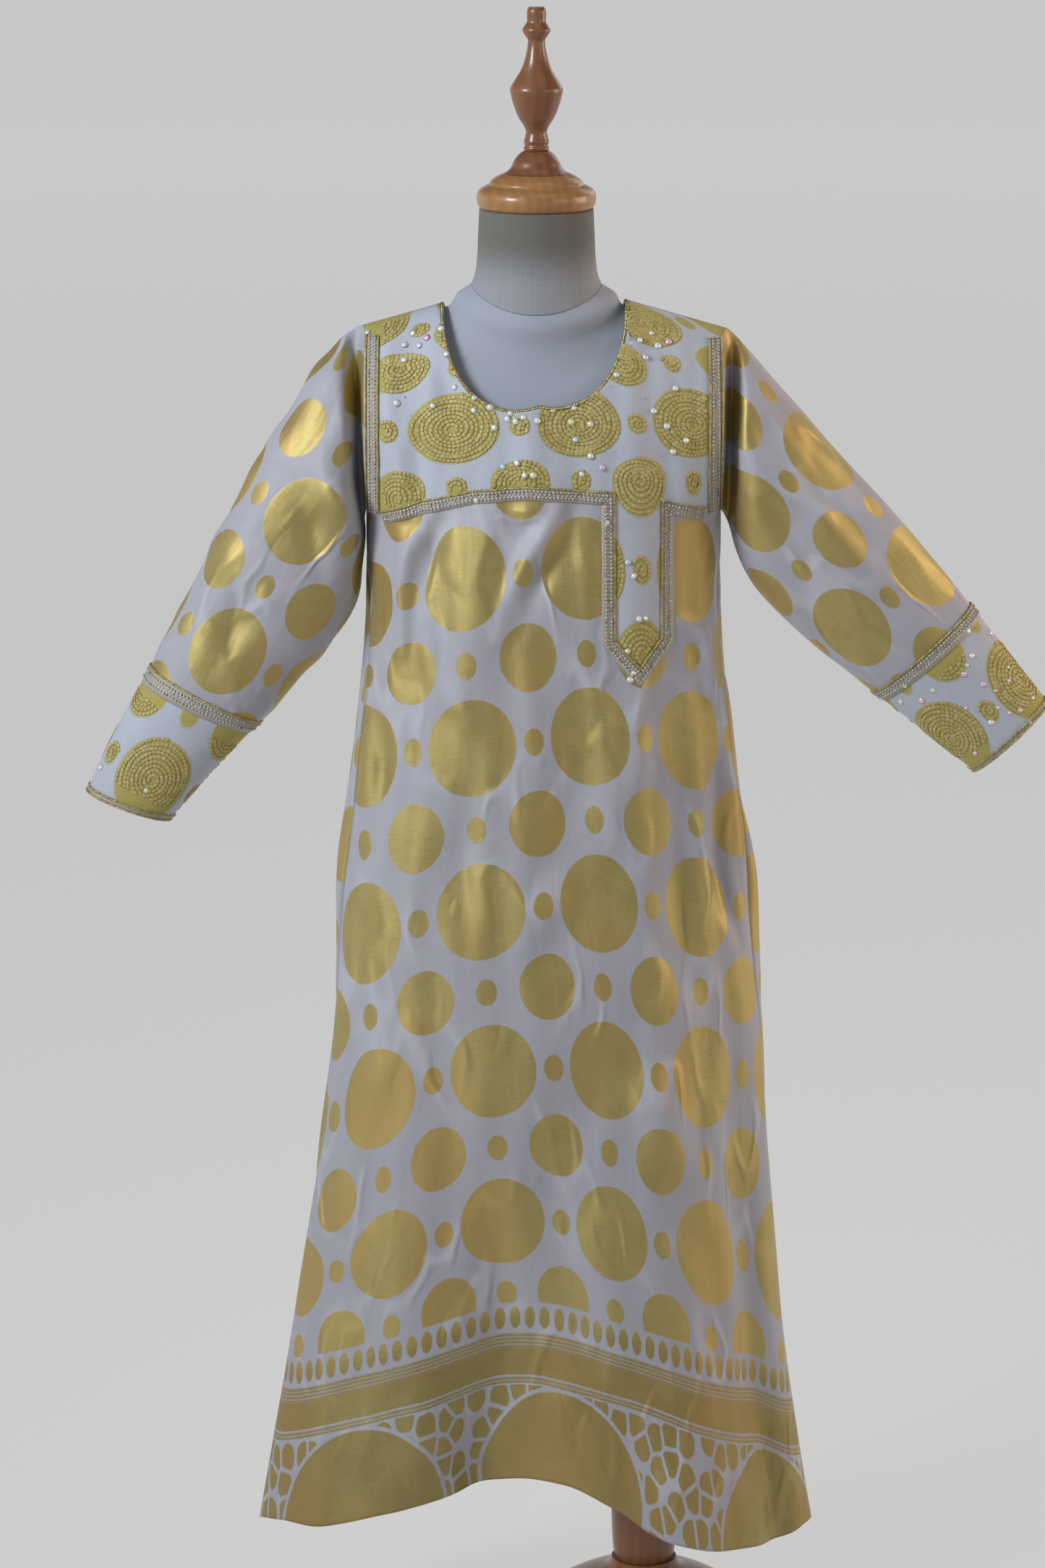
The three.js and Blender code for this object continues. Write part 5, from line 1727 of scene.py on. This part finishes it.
@dataclass
class Braiding:
    """All the braids: yoke, armholes, cuffs, sleeve mouths and neckline.

    Attributes:
        width: A braid's width in millimetres.
        lift: Its underside above the cloth.
        wall: Its thickness in metres.
        step: Distance between its points along it.
    """

    width: float = 12.5
    lift: float = 0.8
    wall: float = 0.0007
    step: float = 4.0

    def __post_init__(self) -> None:
        """Start the sets of lines that the stitches and beads follow."""
        self.ropes = PathSet("braid_ropes")
        self.beads = PathSet("braid_beads")
        self.thin = PathSet("braid_chain")

    def lines_across(self, count: int = 5) -> list[float]:
        """Places across the braid, from one edge to the other."""
        return [self.width * (k / (count - 1) - 0.5) for k in range(count)]

    def trims(self, place: Callable[[float, float], tuple[Array, Array]], ropes: Sequence[float],
              closed: bool = False, plain: bool = False) -> None:
        """Add the lines of one braid's ropes and beads.

        Args:
            place: Gives the points and their outward ways at a place across and a lift.
            ropes: Places across of its gold ropes.
            closed: Whether the braid closes on itself.
            plain: Whether it has no beads.
        """
        for across in ropes:
            self.ropes.add(*place(across, self.lift + 0.5), closed=closed)
        if plain:
            return
        for across in (-2.6, 2.6):
            self.beads.add(*place(across, self.lift + 0.6), closed=closed)
        self.thin.add(*place(0.0, self.lift + 0.3), closed=closed)

    def flat(self, name: str, panel: BodyPanel, spots: Array, sides: Array, ropes: Sequence[float],
             finish: bpy.types.Material) -> bpy.types.Object:
        """A braid laid on a body panel.

        Args:
            name: The piece's name.
            panel: The panel.
            spots: Its middle line, as places across and up.
            sides: The sideways direction at each.
            ropes: Places across of its gold ropes.
            finish: The braid's material.

        Returns:
            The braid's object.
        """
        def place(across: float, lift: float) -> tuple[Array, Array]:
            """One line of the braid."""
            return panel.drape(spots + sides * across, lift)

        edges = [place(across, self.lift)[0] for across in self.lines_across()]
        piece = strip(name, edges, place(0.0, 0.0)[1], self.wall, finish)
        self.trims(place, ropes)
        return piece

    def round_sleeve(self, name: str, sleeve: Sleeve, low: float, high: float, ropes: Sequence[float],
                     finish: bpy.types.Material, plain: bool = False) -> bpy.types.Object:
        """A braid round a sleeve.

        Args:
            name: The piece's name.
            sleeve: The sleeve.
            low: The section at which it starts.
            high: The section at which it ends.
            ropes: Places across of its gold ropes.
            finish: The braid's material.
            plain: Whether it has no beads.

        Returns:
            The braid's object.
        """
        def place(across: float, lift: float) -> tuple[Array, Array]:
            """One line of the braid."""
            return sleeve.ring(blend(low, high, across / self.width + 0.5), lift)

        edges = [place(across, self.lift)[0] for across in self.lines_across()]
        piece = strip(name, edges, place(0.0, 0.0)[1], self.wall, finish, closed=True)
        self.trims(place, ropes, closed=True, plain=plain)
        return piece

    def neck_line(self, front: BodyPanel, back: BodyPanel) -> tuple[Array, Array]:
        """The middle line of the neckline's cord.

        Args:
            front: The front panel.
            back: The back panel.

        Returns:
            Its places in the frame, in metres, and the way out at each.
        """
        steps = 150
        points, outs = [], []
        for panel, share in ((front, np.arange(steps) / steps), (back, 1 - np.arange(steps) / steps)):
            turn = np.pi * (share - 0.5)
            across, up = panel.neck_edge(turn)
            here = panel.chest_points(across, up)[0]
            below = panel.chest_points(across, up - 0.01)[0]
            out = unit(np.cross(np.gradient(here, axis=0), here - below))
            out = out * np.sign(np.sum(out * np.array([0.0, panel.side.sign, 0.35]), -1, keepdims=True))
            points.append(here)
            outs.append(out)
        line, out = np.concatenate(points), np.concatenate(outs)
        middle = line.mean(0)
        inwards = unit((middle - line) * np.array([1.0, 0.35, 0.6]))
        return world(line + inwards * 1.6 - out * 0.2), out


@dataclass
class ChainStitch:
    """Chain stitch that fills the embroidered discs in spirals.

    Attributes:
        pitch: Distance between two rounds of a spiral, in metres.
        step: Distance between the spiral's points.
        margin: Clear space to the braids' middle lines, in table millimetres.
    """

    pitch: float = 0.0048
    step: float = 0.004
    margin: float = 8.5

    def spiral(self, figure: tuple[float, ...]) -> Array:
        """A spiral that fills one disc of the flat cloth, from its edge to its middle."""
        u, v, wide, high = figure
        mean = (wide + high) / 2
        turns = mean / self.pitch
        share = np.sqrt(np.linspace(1, 0.01, max(8, int(math.pi * mean * turns / self.step))))
        angle = share * turns * 2 * np.pi
        wobble = 0.97 + 0.02 * np.sin(angle * 3.3 + u * 90)
        return np.stack([u + wide * wobble * share * np.cos(angle),
                         v + high * wobble * share * np.sin(angle)], -1)

    def on_piece(self, paths: PathSet, cloth: ClothSheet, figures: Sequence[tuple[float, ...]],
                 keeps: Callable[[Array], Array]) -> None:
        """Lay the spirals on a piece.

        Args:
            paths: The lines to add to.
            cloth: The piece.
            figures: The discs to fill.
            keeps: Tells which places are inside the embroidery.
        """
        for figure in figures:
            places, found = cloth.map.at(self.spiral(figure))
            good = found & keeps(places / MM - np.array([FORM_AXIS_X, 0.0, DATUM_Z]))
            run: list[int] = []
            for k in range(len(good) + 1):
                if k < len(good) and good[k]:
                    run.append(k)
                    continue
                if len(run) > 2:
                    outs = np.array([cloth.skin.find_nearest(Vector(places[i]))[1] for i in run])
                    paths.add(places[run] + outs * 0.0004, outs)
                run = []


# ------------------------------------------------------------------ the dress form

FORM_RINGS = (
    (61, 58, 52, 1334, 1311, 1331), (74, 60, 52, 1325, 1299, 1316), (82, 57, 51, 1313, 1279, 1298),
    (101, 61, 54, 1308.6, 1255, 1272), (126, 69, 60, 1303.1, 1236, 1246), (142, 78, 71, 1288, 1216, 1222),
    (148, 85, 80, 1262, 1195, 1196), (145, 88, 83, 1222, 1168, 1164), (137, 88, 82, 1165, 1138, 1134),
    (128, 84, 79, 1095, 1085, 1085), (118, 78, 74, 1000, 1000, 1000), (130, 82, 82, 910, 910, 910),
    (144, 85, 90, 820, 820, 820), (146, 85, 90, 770, 770, 770), (143, 82, 87, 754, 754, 754),
)
NECK_RINGS = (
    (61, 58, 52, 1334, 1311, 1331), (57.5, 56.5, 54.8, 1343, 1330, 1341),
    (55.5, 54.5, 54.5, 1360, 1360, 1360), (54.5, 54.5, 54.5, 1382, 1382, 1382),
    (53.5, 53.5, 53.5, 1403.6, 1403.6, 1403.6),
)


@dataclass
class FormCloth:
    """The dress form's covered body or neck: a smooth, whole, closed shape.

    Attributes:
        name: The piece's name.
        rings: Half-width, reach before and behind, and the height at the sides, front and back.
        drop: How far below its neighbour's seam ring the first ring lies.
        rows: Rows of points.
        around: Points round it.
    """

    name: str
    rings: Rows
    drop: float
    rows: int
    around: int = 144

    def build(self, finish: bpy.types.Material) -> bpy.types.Object:
        """Make the shape.

        Args:
            finish: Its cover's material.

        Returns:
            The object.
        """
        table = [(k, *row) for k, row in enumerate(self.rings)]
        index, turn = np.meshgrid(np.linspace(0, len(self.rings) - 1, self.rows),
                                  2 * np.pi * np.arange(self.around) / self.around, indexing="ij")
        half, front, back, side_z, front_z, back_z = (curve(index) for curve in columns(table))
        ahead = np.cos(turn)
        reach = np.where(ahead > 0, front, back)
        z = blend(side_z, np.where(ahead > 0, front_z, back_z), np.abs(ahead) ** 1.5)
        z = z - self.drop * np.clip(1 - index, 0, 1)
        points = np.stack([half * np.sin(turn) + FORM_LEAN_X, -ahead * reach, z], -1).reshape(-1, 3)
        centres = [[FORM_LEAN_X, 0.0, ring[:, 2].mean()]
                   for ring in (points[:self.around], points[-self.around:])]
        upright = points[-1, 2] > points[0, 2]
        faces = grid_faces(self.around, self.rows, closed=True, flip=not upright)
        first, last = len(points), len(points) + 1
        base = (self.rows - 1) * self.around
        for k in range(self.around):
            after = (k + 1) % self.around
            low, high = (first, after, k), (last, base + k, base + after)
            faces += [low, high] if upright else [low[::-1], high[::-1]]
        piece = make_mesh(self.name, world(np.concatenate([points, centres])), faces)
        for polygon in piece.data.polygons[-2 * self.around:]:
            polygon.use_smooth = False
        piece.data.materials.append(finish)
        return piece


def turning_tree() -> TrimTree:
    """The tree that turns a profile round its axis: points on the axis hold "reach", their radius."""
    made = TrimTree("turned_profile", {"Sides": 96})
    graph = made.graph
    axis = graph.out("GeometryNodeMeshToCurve", {0: made.given("Geometry")})
    circle = graph.out("GeometryNodeCurvePrimitiveCircle", {"Resolution": made.given("Sides"), "Radius": 1.0})
    inputs = {"Curve": axis, "Profile Curve": circle, "Scale": made.named("reach"), "Fill Caps": True}
    tube = graph.out("GeometryNodeCurveToMesh", inputs)
    smooth = graph.out("GeometryNodeSetShadeSmooth", {"Geometry": tube})
    made.dress(graph.out("GeometryNodeRealizeInstances", {"Geometry": smooth}))
    return made


@dataclass
class Turning:
    """One turned piece of wood.

    Attributes:
        name: The piece's name.
        node: The frame's node that it stands for.
        slot: The record's material slot.
        axis_x: Its axis, across from the post's axis.
        profile: Radius and height of each point.
        finer: Points between two of the profile's.
    """

    name: str
    node: str
    slot: str
    axis_x: float
    profile: Rows
    finer: int = 5

    def build(self, tree: TrimTree, finish: bpy.types.Material) -> bpy.types.Object:
        """Make the piece.

        Args:
            tree: The tree that turns a profile.
            finish: The wood's material.

        Returns:
            The object.
        """
        data = np.asarray(self.profile, float)
        run = np.concatenate([[0.0], np.cumsum(np.hypot(*np.diff(data, axis=0).T))])
        spans = [np.linspace(low, high, self.finer + 1) for low, high in zip(run[:-1], run[1:])]
        fine = np.unique(np.concatenate(spans))
        radius, height = Curve(run, data[:, 0])(fine), Curve(run, data[:, 1])(fine)
        height = np.maximum.accumulate(height + np.arange(height.size) * 1e-5) + DATUM_Z
        points = np.stack([np.full(fine.size, self.axis_x), np.zeros(fine.size), height], -1) * MM
        piece = make_lines(self.name, points, [(k, k + 1) for k in range(fine.size - 1)])
        set_share(piece, "reach", radius * MM)
        tree.apply(piece, finish, Sides=96)
        return finished(piece, self.slot, self.node)


# The turned pieces' profiles: radius and height.
NECK_CAP = ((51.5, 1404), (54.4, 1407), (56, 1413), (55.4, 1418.5), (53, 1422), (48, 1425),
            (44.5, 1426.6), (43, 1429.5), (38, 1433.4), (31, 1436.8))
FINIAL_COLLAR = ((29.5, 1437.1), (26, 1440), (23.6, 1443), (21.2, 1448.5), (17, 1454), (12.5, 1457.6))
FINIAL = ((11, 1457.9), (12, 1460.5), (11, 1463.4), (11.8, 1466.5), (11, 1469.5), (9.9, 1475.5),
          (12, 1481), (16.8, 1488.5), (21.7, 1501), (24, 1510), (24.7, 1515), (22.2, 1520.4),
          (14.5, 1533), (10.1, 1546), (8, 1560), (10.5, 1564), (13.2, 1569.4), (10.5, 1574.5),
          (9, 1577), (8.9, 1587), (7.4, 1590.6))
POST = ((28.6, 62), (30.6, 70), (32.4, 100), (33, 150), (31, 420), (29, 753.6))
FOOT = ((145, -22), (150, -18), (151, -12), (148, -7), (141, -3.5), (130, 2), (115, 11), (98, 20.5),
        (80, 31.5), (66, 38.5), (54, 43.5), (43, 48), (36, 53), (32, 61.6))


# ------------------------------------------------------------------ the studio


@dataclass(frozen=True)
class Lamp:
    """One soft square light.

    Attributes:
        name: Its name.
        place: Where it stands.
        aim: The point that it faces.
        size: Its side in metres.
        power: Its power in watts.
        colour: Its colour.
        spread: How wide its beam is, in degrees.
    """

    name: str
    place: Triple
    aim: Triple
    size: float
    power: float
    colour: Triple
    spread: float = 180.0

    def build(self) -> None:
        """Add the light."""
        data = bpy.data.lights.new(self.name, "AREA")
        data.shape = "SQUARE"
        data.size = self.size
        data.spread = math.radians(self.spread)
        data.energy = self.power
        data.color = self.colour
        lamp = linked(self.name, data)
        lamp.location = self.place
        lamp.rotation_euler = (Vector(self.aim) - Vector(self.place)).to_track_quat("-Z", "Y").to_euler()


LAMPS = (
    Lamp("key", (-2.6, -1.9, 2.7), (-0.1, 0.0, 1.40), 1.1, 19.0, (0.93, 0.965, 1.0), 80.0),
    Lamp("fill", (2.4, -2.2, 2.1), (-0.1, 0.0, 1.35), 1.6, 3.6, (1.0, 0.87, 0.76), 90.0),
    Lamp("top", (0.2, -0.4, 3.4), (-0.1, 0.0, 0.9), 1.6, 4.0, (0.97, 0.98, 1.0)),
    Lamp("side", (2.0, 0.2, 1.6), (-0.1, 0.0, 1.1), 1.1, 9.0, (1.0, 0.76, 0.58), 120.0),
    Lamp("back", (1.6, 2.6, 2.6), (-0.1, 0.0, 0.9), 1.6, 10.0, (0.97, 0.98, 1.0)),
)


@dataclass
class Studio:
    """Pale floor and backdrop, soft lights and the camera.

    Attributes:
        distance: The camera before the form, in metres.
        height: Its height above the floor.
        across: Its place across.
        dip: How far it looks down, in degrees.
        focal: Its focal length for a 36 mm frame, in millimetres.
        floor: Radius of the flat floor, in metres.
        bend: Radius of the curve from the floor up into the wall.
        wall: Height of the wall.
        glow: Brightness of the floor and the wall.
        shade: How much darker the studio's glow is made before the form than behind it, as a share; this is a
            painted shadow.
    """

    distance: float = 4.6
    height: float = 1.952
    across: float = -0.121
    dip: float = 13.2
    focal: float = 112.9
    floor: float = 14.6
    bend: float = 1.4
    wall: float = 5.4
    glow: float = 0.53
    shade: float = 0.55

    def camera(self) -> None:
        """Place the camera."""
        data = bpy.data.cameras.new("camera")
        data.lens = self.focal
        data.sensor_width = 36.0
        camera = linked("camera", data)
        camera.location = (self.across, -self.distance, self.height)
        camera.rotation_euler = (math.radians(90 - self.dip), 0.0, 0.0)
        bpy.context.scene.camera = camera

    def backdrop(self) -> None:
        """Add the round floor, which curves up into a low wall all round."""
        material, graph = new_material("studio_pale")
        place = graph.node("ShaderNodeTexCoord").outputs["Object"]
        # The glow is darker in front of the form: a painted shadow.
        glow = 1 - (1 - graph.rise(graph.split(place)[1], -1.3, 0.05)) * self.shade
        inputs = {"Base Color": (0.18, 0.18, 0.18), "Roughness": 0.9, "Specular IOR Level": 0.1,
                  "Emission Color": graph.join(glow, glow, glow), "Emission Strength": self.glow}
        close_material(graph, inputs)
        turn = np.linspace(0, np.pi / 2, 13)
        curve = [(self.floor + self.bend * math.sin(t), self.bend * (1 - math.cos(t))) for t in turn]
        line = [(0.01, 0.0), (1.0, 0.0), (3.0, 0.0), (8.0, 0.0), *curve,
                (self.floor + self.bend, self.wall)]
        around = 2 * np.pi * np.arange(72) / 72
        points = [(reach * math.cos(t), reach * math.sin(t), z) for reach, z in line for t in around]
        floor = make_mesh("floor", np.array(points), grid_faces(72, len(line), closed=True, flip=True))
        floor.data.materials.append(material)

    def build(self) -> None:
        """Set up the studio."""
        self.camera()
        self.backdrop()
        world_light = bpy.data.worlds.new("studio")
        world_light.use_nodes = True
        graph = Graph(world_light.node_tree)
        air = graph.node("ShaderNodeBackground", {}, {"Color": (0.80, 0.83, 0.88, 1.0), "Strength": 0.07})
        graph.node("ShaderNodeOutputWorld", {}, {"Surface": air.outputs[0]})
        bpy.context.scene.world = world_light
        for lamp in LAMPS:
            lamp.build()
        bpy.context.scene.view_settings.view_transform = "Standard"


# ------------------------------------------------------------------ the whole object


@dataclass
class Thobe:
    """The garment with its braids and sequins."""

    def __post_init__(self) -> None:
        """Make the panels' and sleeves' forms."""
        self.front = BodyPanel(FRONT)
        self.back = BodyPanel(BACK)
        self.left = Sleeve(
            name="sleeve_left_cloth", sections=SLEEVE_LEFT, sign=-1, cuff_from=11.08, breadth=101.0,
            origin=(-221.5, 1116.4), heading=(-0.5025, -0.8647), period=147.0, start=(0.060, 0.7285),
            creases=(Crease(((-206, 1196), (-200, 1166), (-186, 1128), (-180, 1090)), 3.2, 10),
                     Crease(((-226, 1150), (-214, 1104), (-204, 1056)), -2.6, 11),
                     Crease(((-240, 1180), (-262, 1130), (-290, 1080), (-318, 1022)), 3.0, 14),
                     Crease(((-268, 1060), (-292, 1010), (-316, 960)), -2.8, 12),
                     Crease(((-190, 1250), (-196, 1216), (-214, 1184)), -2.6, 11)),
            back_creases=(Crease(((-210, 1190), (-222, 1120), (-246, 1060)), 3.0, 13),
                          Crease(((-270, 1120), (-300, 1050), (-322, 990)), -3.0, 13)))
        self.right = Sleeve(
            name="sleeve_right_cloth", sections=SLEEVE_RIGHT, sign=1, cuff_from=12.08, breadth=93.5,
            origin=(281.7, 1098.0), heading=(0.654, -0.756), period=148.6, start=(0.0, 0.8065),
            creases=(Crease(((218, 1168), (256, 1130), (296, 1082), (332, 1040)), 3.0, 11),
                     Crease(((206, 1140), (236, 1104), (262, 1074)), -2.8, 11),
                     Crease(((256, 1178), (296, 1136), (342, 1088), (384, 1036)), 2.8, 13),
                     Crease(((196, 1226), (214, 1196), (240, 1168)), -2.6, 11)),
            back_creases=(Crease(((220, 1190), (256, 1140), (300, 1090)), 3.0, 13),
                          Crease(((250, 1110), (296, 1060), (340, 1010)), -3.0, 12)))

    def build(self) -> None:
        """Make and dress the whole garment."""
        finishes = [Brocade().material(face) for face in Face]
        self.cloths = [cloth.build(*finishes) for cloth in (self.front, self.back, self.left, self.right)]
        for piece, node in zip(self.cloths, ("front_panel", "back_panel", "sleeve_left", "sleeve_right")):
            finished(piece, "brocade", node)
        trims = self.braids() + self.chain_stitch() + self.sequins()

    def braids(self) -> list[bpy.types.Object]:
        """Make the braids, their ropes and their beads.

        Returns:
            The trims' objects.
        """
        braid = BraidGround().material()
        rope = ((0.0, (0.36, 0.29, 0.11)), (1.0, (0.62, 0.54, 0.26)))
        gold = Tinted("gold_rope", rope, 0.75, 0.34).material()
        beads = ((0.0, (0.26, 0.24, 0.24)), (0.04, (0.34, 0.32, 0.31)), (0.08, (0.53, 0.52, 0.53)),
                 (0.55, (0.57, 0.56, 0.58)), (0.6, (0.52, 0.47, 0.30)), (1.0, (0.57, 0.52, 0.36)))
        bead = Tinted("braid_bead", beads, 0.1, 0.4, 0.2).material()
        small = ((0.0, (0.10, 0.07, 0.16)), (0.3, (0.16, 0.12, 0.24)), (0.45, (0.55, 0.62, 0.72)),
                 (1.0, (0.75, 0.76, 0.78)))
        self.dark = Tinted("small_bead", small, 0.3, 0.2, 0.5).material()
        work = Braiding()
        half = work.width / 2
        made = []
        spots, sides = mitred(YOKE_EDGE, work.step)
        yoke = work.flat("yoke_band", self.front, spots, sides, (half - 0.6,), braid)
        made.append(finished(yoke, "gold_braid", "yoke_braid"))
        for name, sign in (("left", -1), ("right", 1)):
            seam = ARM_SHIFT + sign * ARM_HALF
            across = np.full(46, seam - sign * (1.0 + half + 0.5))
            up = blend(UNDERARM, shoulder_height(across), np.linspace(0.03, 0.94, 46))
            spots = np.stack([across, up], -1)
            sides = np.tile([float(sign), 0.0], (46, 1))
            band = work.flat(f"armhole_band_{name}", self.front, spots, sides, (-half + 0.6, half - 0.6),
                             braid)
            made.append(finished(band, "gold_braid", f"armhole_braid_{name}"))
        for name, sleeve, low in (("left", self.left, 10.85), ("right", self.right, 11.85)):
            band = work.round_sleeve(f"cuff_band_{name}", sleeve, low, low + 0.38, (-half + 0.6,), braid)
            made.append(finished(band, "gold_braid", f"cuff_braid_{name}"))
            rim = work.round_sleeve(f"cuff_rim_{name}", sleeve, sleeve.last - 0.16, sleeve.last,
                                    (-half + 2.0, half - 0.6), braid, plain=True)
            made.append(finished(rim, "gold_braid", f"cuff_edge_{name}"))
        stitches = stitch_tree()
        neck = PathSet("neck_cord")
        neck.add(*work.neck_line(self.front, self.back), closed=True)
        labels = ("Spacing", "Length", "Width", "Height", "Slant", "Variation", "Seed")
        rows = ((neck, gold, ["neck_binding"], (0.0021, 0.0046, 0.0026, 0.0034, 0.75, 0.15, 4)),
                (work.ropes, gold, [], (0.0019, 0.0042, 0.0017, 0.0017, 0.55, 0.12, 2)),
                (work.beads, bead, [], (0.0036, 0.0027, 0.0027, 0.0024, 0.0, 0.22, 5)),
                (work.thin, bead, [], (0.0041, 0.0030, 0.0016, 0.0014, 0.9, 0.2, 9)))
        for lines, finish, nodes, numbers in rows:
            trim = stitches.apply(lines.build(), finish, **dict(zip(labels, numbers)))
            made.append(finished(trim, "gold_braid", *nodes))
        return made

    def sequins(self) -> list[bpy.types.Object]:
        """Make the sequins and the strewn beads.

        Returns:
            The trims' objects.
        """
        tints = ((0.0, (0.94, 0.96, 0.96)), (0.45, (0.86, 0.93, 0.88)), (0.6, (0.93, 0.90, 0.68)),
                 (0.78, (0.66, 0.86, 0.93)), (0.86, (0.80, 0.68, 0.94)), (0.93, (0.95, 0.60, 0.82)),
                 (1.0, (0.94, 0.80, 0.68)))
        shine = Tinted("sequin", tints, 0.25, 0.2, 0.8).material()
        places = np.array(SEQUIN_PLACES, float)
        points, outs = self.front.drape(places[:, :2], 0.9)
        piece = make_lines("sequins", points)
        set_share(piece, "out", outs, vector=True)
        set_share(piece, "tint", places[:, 2])
        sequin_tree().apply(piece, shine, Seed=3)
        made = [finished(piece, "gold_braid")]
        strewn = scatter_tree()
        for name, source, density, seed in (("yoke_beads", self.cloths[0], 420.0, 5),
                                            ("cuff_sequins_left", self.cloths[2], 500.0, 6),
                                            ("cuff_sequins_right", self.cloths[3], 2300.0, 8)):
            small = name == "yoke_beads"
            trims = strewn.apply(patch(source, name), self.dark if small else shine, Density=density,
                                 Spacing=0.012 if small else 0.0085, Diameter=0.0026 if small else 0.0062,
                                 Flatness=0.6 if small else 0.3, Seed=seed)
            made.append(finished(trims, "gold_braid"))
        return made

    def chain_stitch(self) -> list[bpy.types.Object]:
        """Make the embroidery that fills the discs of the yoke, the tab and the cuffs.

        Returns:
            The stitches' objects.
        """
        threads = ((0.0, (0.45, 0.375, 0.13)), (0.5, (0.50, 0.425, 0.16)), (1.0, (0.56, 0.49, 0.205)))
        thread = Tinted("worked_thread", threads, 0.12, 0.55).material()
        work, pattern, tree = ChainStitch(), Brocade(), stitch_tree()

        def on_yoke(places: Array) -> Array:
            """Whether places are on the yoke or its tab, clear of the braids."""
            points = mitred(YOKE_EDGE, 4.0)[0]
            gaps = np.hypot(places[:, None, 0] - points[None, :, 0],
                            places[:, None, 2] - points[None, :, 1])
            inside = inside_outline(places[:, 0], places[:, 2], [*YOKE_EDGE, *YOKE_TOP])
            arms = np.abs(places[:, 0] - ARM_SHIFT) < ARM_HALF - 17
            top = places[:, 2] < shoulder_height(places[:, 0]) - 3
            return inside & arms & top & (gaps.min(1) > work.margin) & (places[:, 1] < 0)

        made = []
        lines = PathSet("yoke_chain_stitch")
        work.on_piece(lines, self.front, pattern.figures((-0.24, 0.60), (0.24, 1.2)), on_yoke)
        stitch = {"Spacing": 0.0042, "Length": 0.0054, "Width": 0.0041, "Height": 0.0007, "Slant": 0.12,
                  "Variation": 0.15}
        made.append(tree.apply(lines.build(), thread, Seed=21, **stitch))
        for name, sleeve in (("left", self.left), ("right", self.right)):
            heading = np.asarray(sleeve.heading) / np.hypot(*sleeve.heading)
            low, high = (float(sleeve.surface(0.25, index)[[0, 2]] @ heading)
                         for index in (sleeve.cuff_from + 0.42, sleeve.last - 0.5))

            def on_cuff(places: Array, low: float = low, high: float = high,
                        way: Array = heading) -> Array:
                """Whether places are between the cuff's two braids."""
                along = places[:, [0, 2]] @ way
                return (along > low) & (along < high)

            lines = PathSet(f"cuff_chain_stitch_{name}")
            corner = sleeve.map.uv.reshape(-1, 2)
            figures = pattern.figures(tuple(corner.min(0)), tuple(corner.max(0)))
            work.on_piece(lines, sleeve, figures, on_cuff)
            made.append(tree.apply(lines.build(), thread, Seed=23, **stitch))
        return [finished(piece, "gold_braid") for piece in made]


# Sequins of the yoke and the tab: place across, height, and tint.
SEQUIN_PLACES = (
    (-91, 1296, 0.1), (-76, 1266, 0.2), (-58, 1240, 0.1), (-47, 1240, 0.4), (-34, 1231, 0.2),
    (32, 1229, 0.1), (71, 1258, 0.3), (-30, 1219, 0.0), (-27, 1224, 0.2), (-22, 1217, 0.5),
    (-15, 1221, 0.4), (-2, 1218, 0.1), (-42, 1211, 0.2), (-161, 1289, 0.2), (-126, 1268, 0.1),
    (-118, 1291, 0.3), (-126, 1281, 0.4), (-112, 1281, 0.2), (-105, 1288, 0.93), (-99, 1229, 0.3),
    (-61, 1226, 0.1), (-133, 1230, 0.4), (6, 1229, 0.5), (29, 1216, 0.6), (47, 1214, 0.6),
    (33, 1200, 0.78), (-34, 1175, 0.78), (-21, 1179, 0.3), (-14, 1168, 0.6), (-6, 1168, 0.6),
    (47, 1185, 0.5), (39, 1168, 0.45), (58, 1174, 0.86), (-59, 1143, 0.4), (63, 1122, 0.5),
    (82, 1084, 0.78), (88, 1071, 0.2), (82, 1000, 0.6), (93, 1030, 0.3), (99, 1030, 0.4), (88, 979, 0.6),
    (85, 973, 0.5), (93, 1287, 0.4), (104, 1292, 0.3), (110, 1281, 0.2), (120, 1284, 0.93),
    (98, 1272, 0.5), (126, 1243, 0.2), (106, 1224, 0.4), (118, 1210, 0.3), (136, 1196, 0.5),
    (124, 1186, 0.6),
)


@dataclass
class DressForm:
    """The covered form, its turned cap and finial, and the stand."""

    def build(self) -> None:
        """Make and dress every piece."""
        pale = (0.385, 0.42, 0.50)
        jersey = FormCover(Cover.JERSEY, pale, pale).material()
        linen = FormCover(Cover.LINEN, (0.165, 0.160, 0.145), (0.33, 0.345, 0.385)).material()
        finished(FormCloth("torso_cover", FORM_RINGS, 0.4, 190).build(jersey), "jersey", "form_torso")
        finished(FormCloth("neck_cover", NECK_RINGS, 0.0, 60).build(linen), "linen", "form_neck")
        axis = FORM_AXIS_X + FORM_LEAN_X
        amber, red, stand = (TurnedWood(*numbers).material() for numbers in (
            ("amber_varnish", (0.44, 0.225, 0.085), (0.31, 0.145, 0.048), axis * MM),
            ("red_varnish", (0.27, 0.112, 0.048), (0.175, 0.068, 0.029), axis * MM),
            ("stand_varnish", (0.31, 0.115, 0.042), (0.20, 0.069, 0.026), 0.0, 0.5)))
        tree = turning_tree()
        Turning("turned_cap", "neck_cap", "amber_wood", axis, NECK_CAP).build(tree, amber)
        Turning("turned_collar", "finial_collar", "red_wood", axis, FINIAL_COLLAR).build(tree, red)
        Turning("turned_finial", "finial", "red_wood", axis, FINIAL).build(tree, red)
        Turning("turned_post", "post", "red_wood", 0.0, POST).build(tree, stand)
        Turning("turned_foot", "foot", "red_wood", 0.0, FOOT).build(tree, stand)


def main() -> None:
    """Build the dress form, the garment and the studio, and log each piece's face count."""
    logging.basicConfig(level=logging.INFO, format="%(name)s: %(message)s")
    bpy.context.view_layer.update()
    Studio().build()
    DressForm().build()
    Thobe().build()


if __name__ == "__main__":
    main()
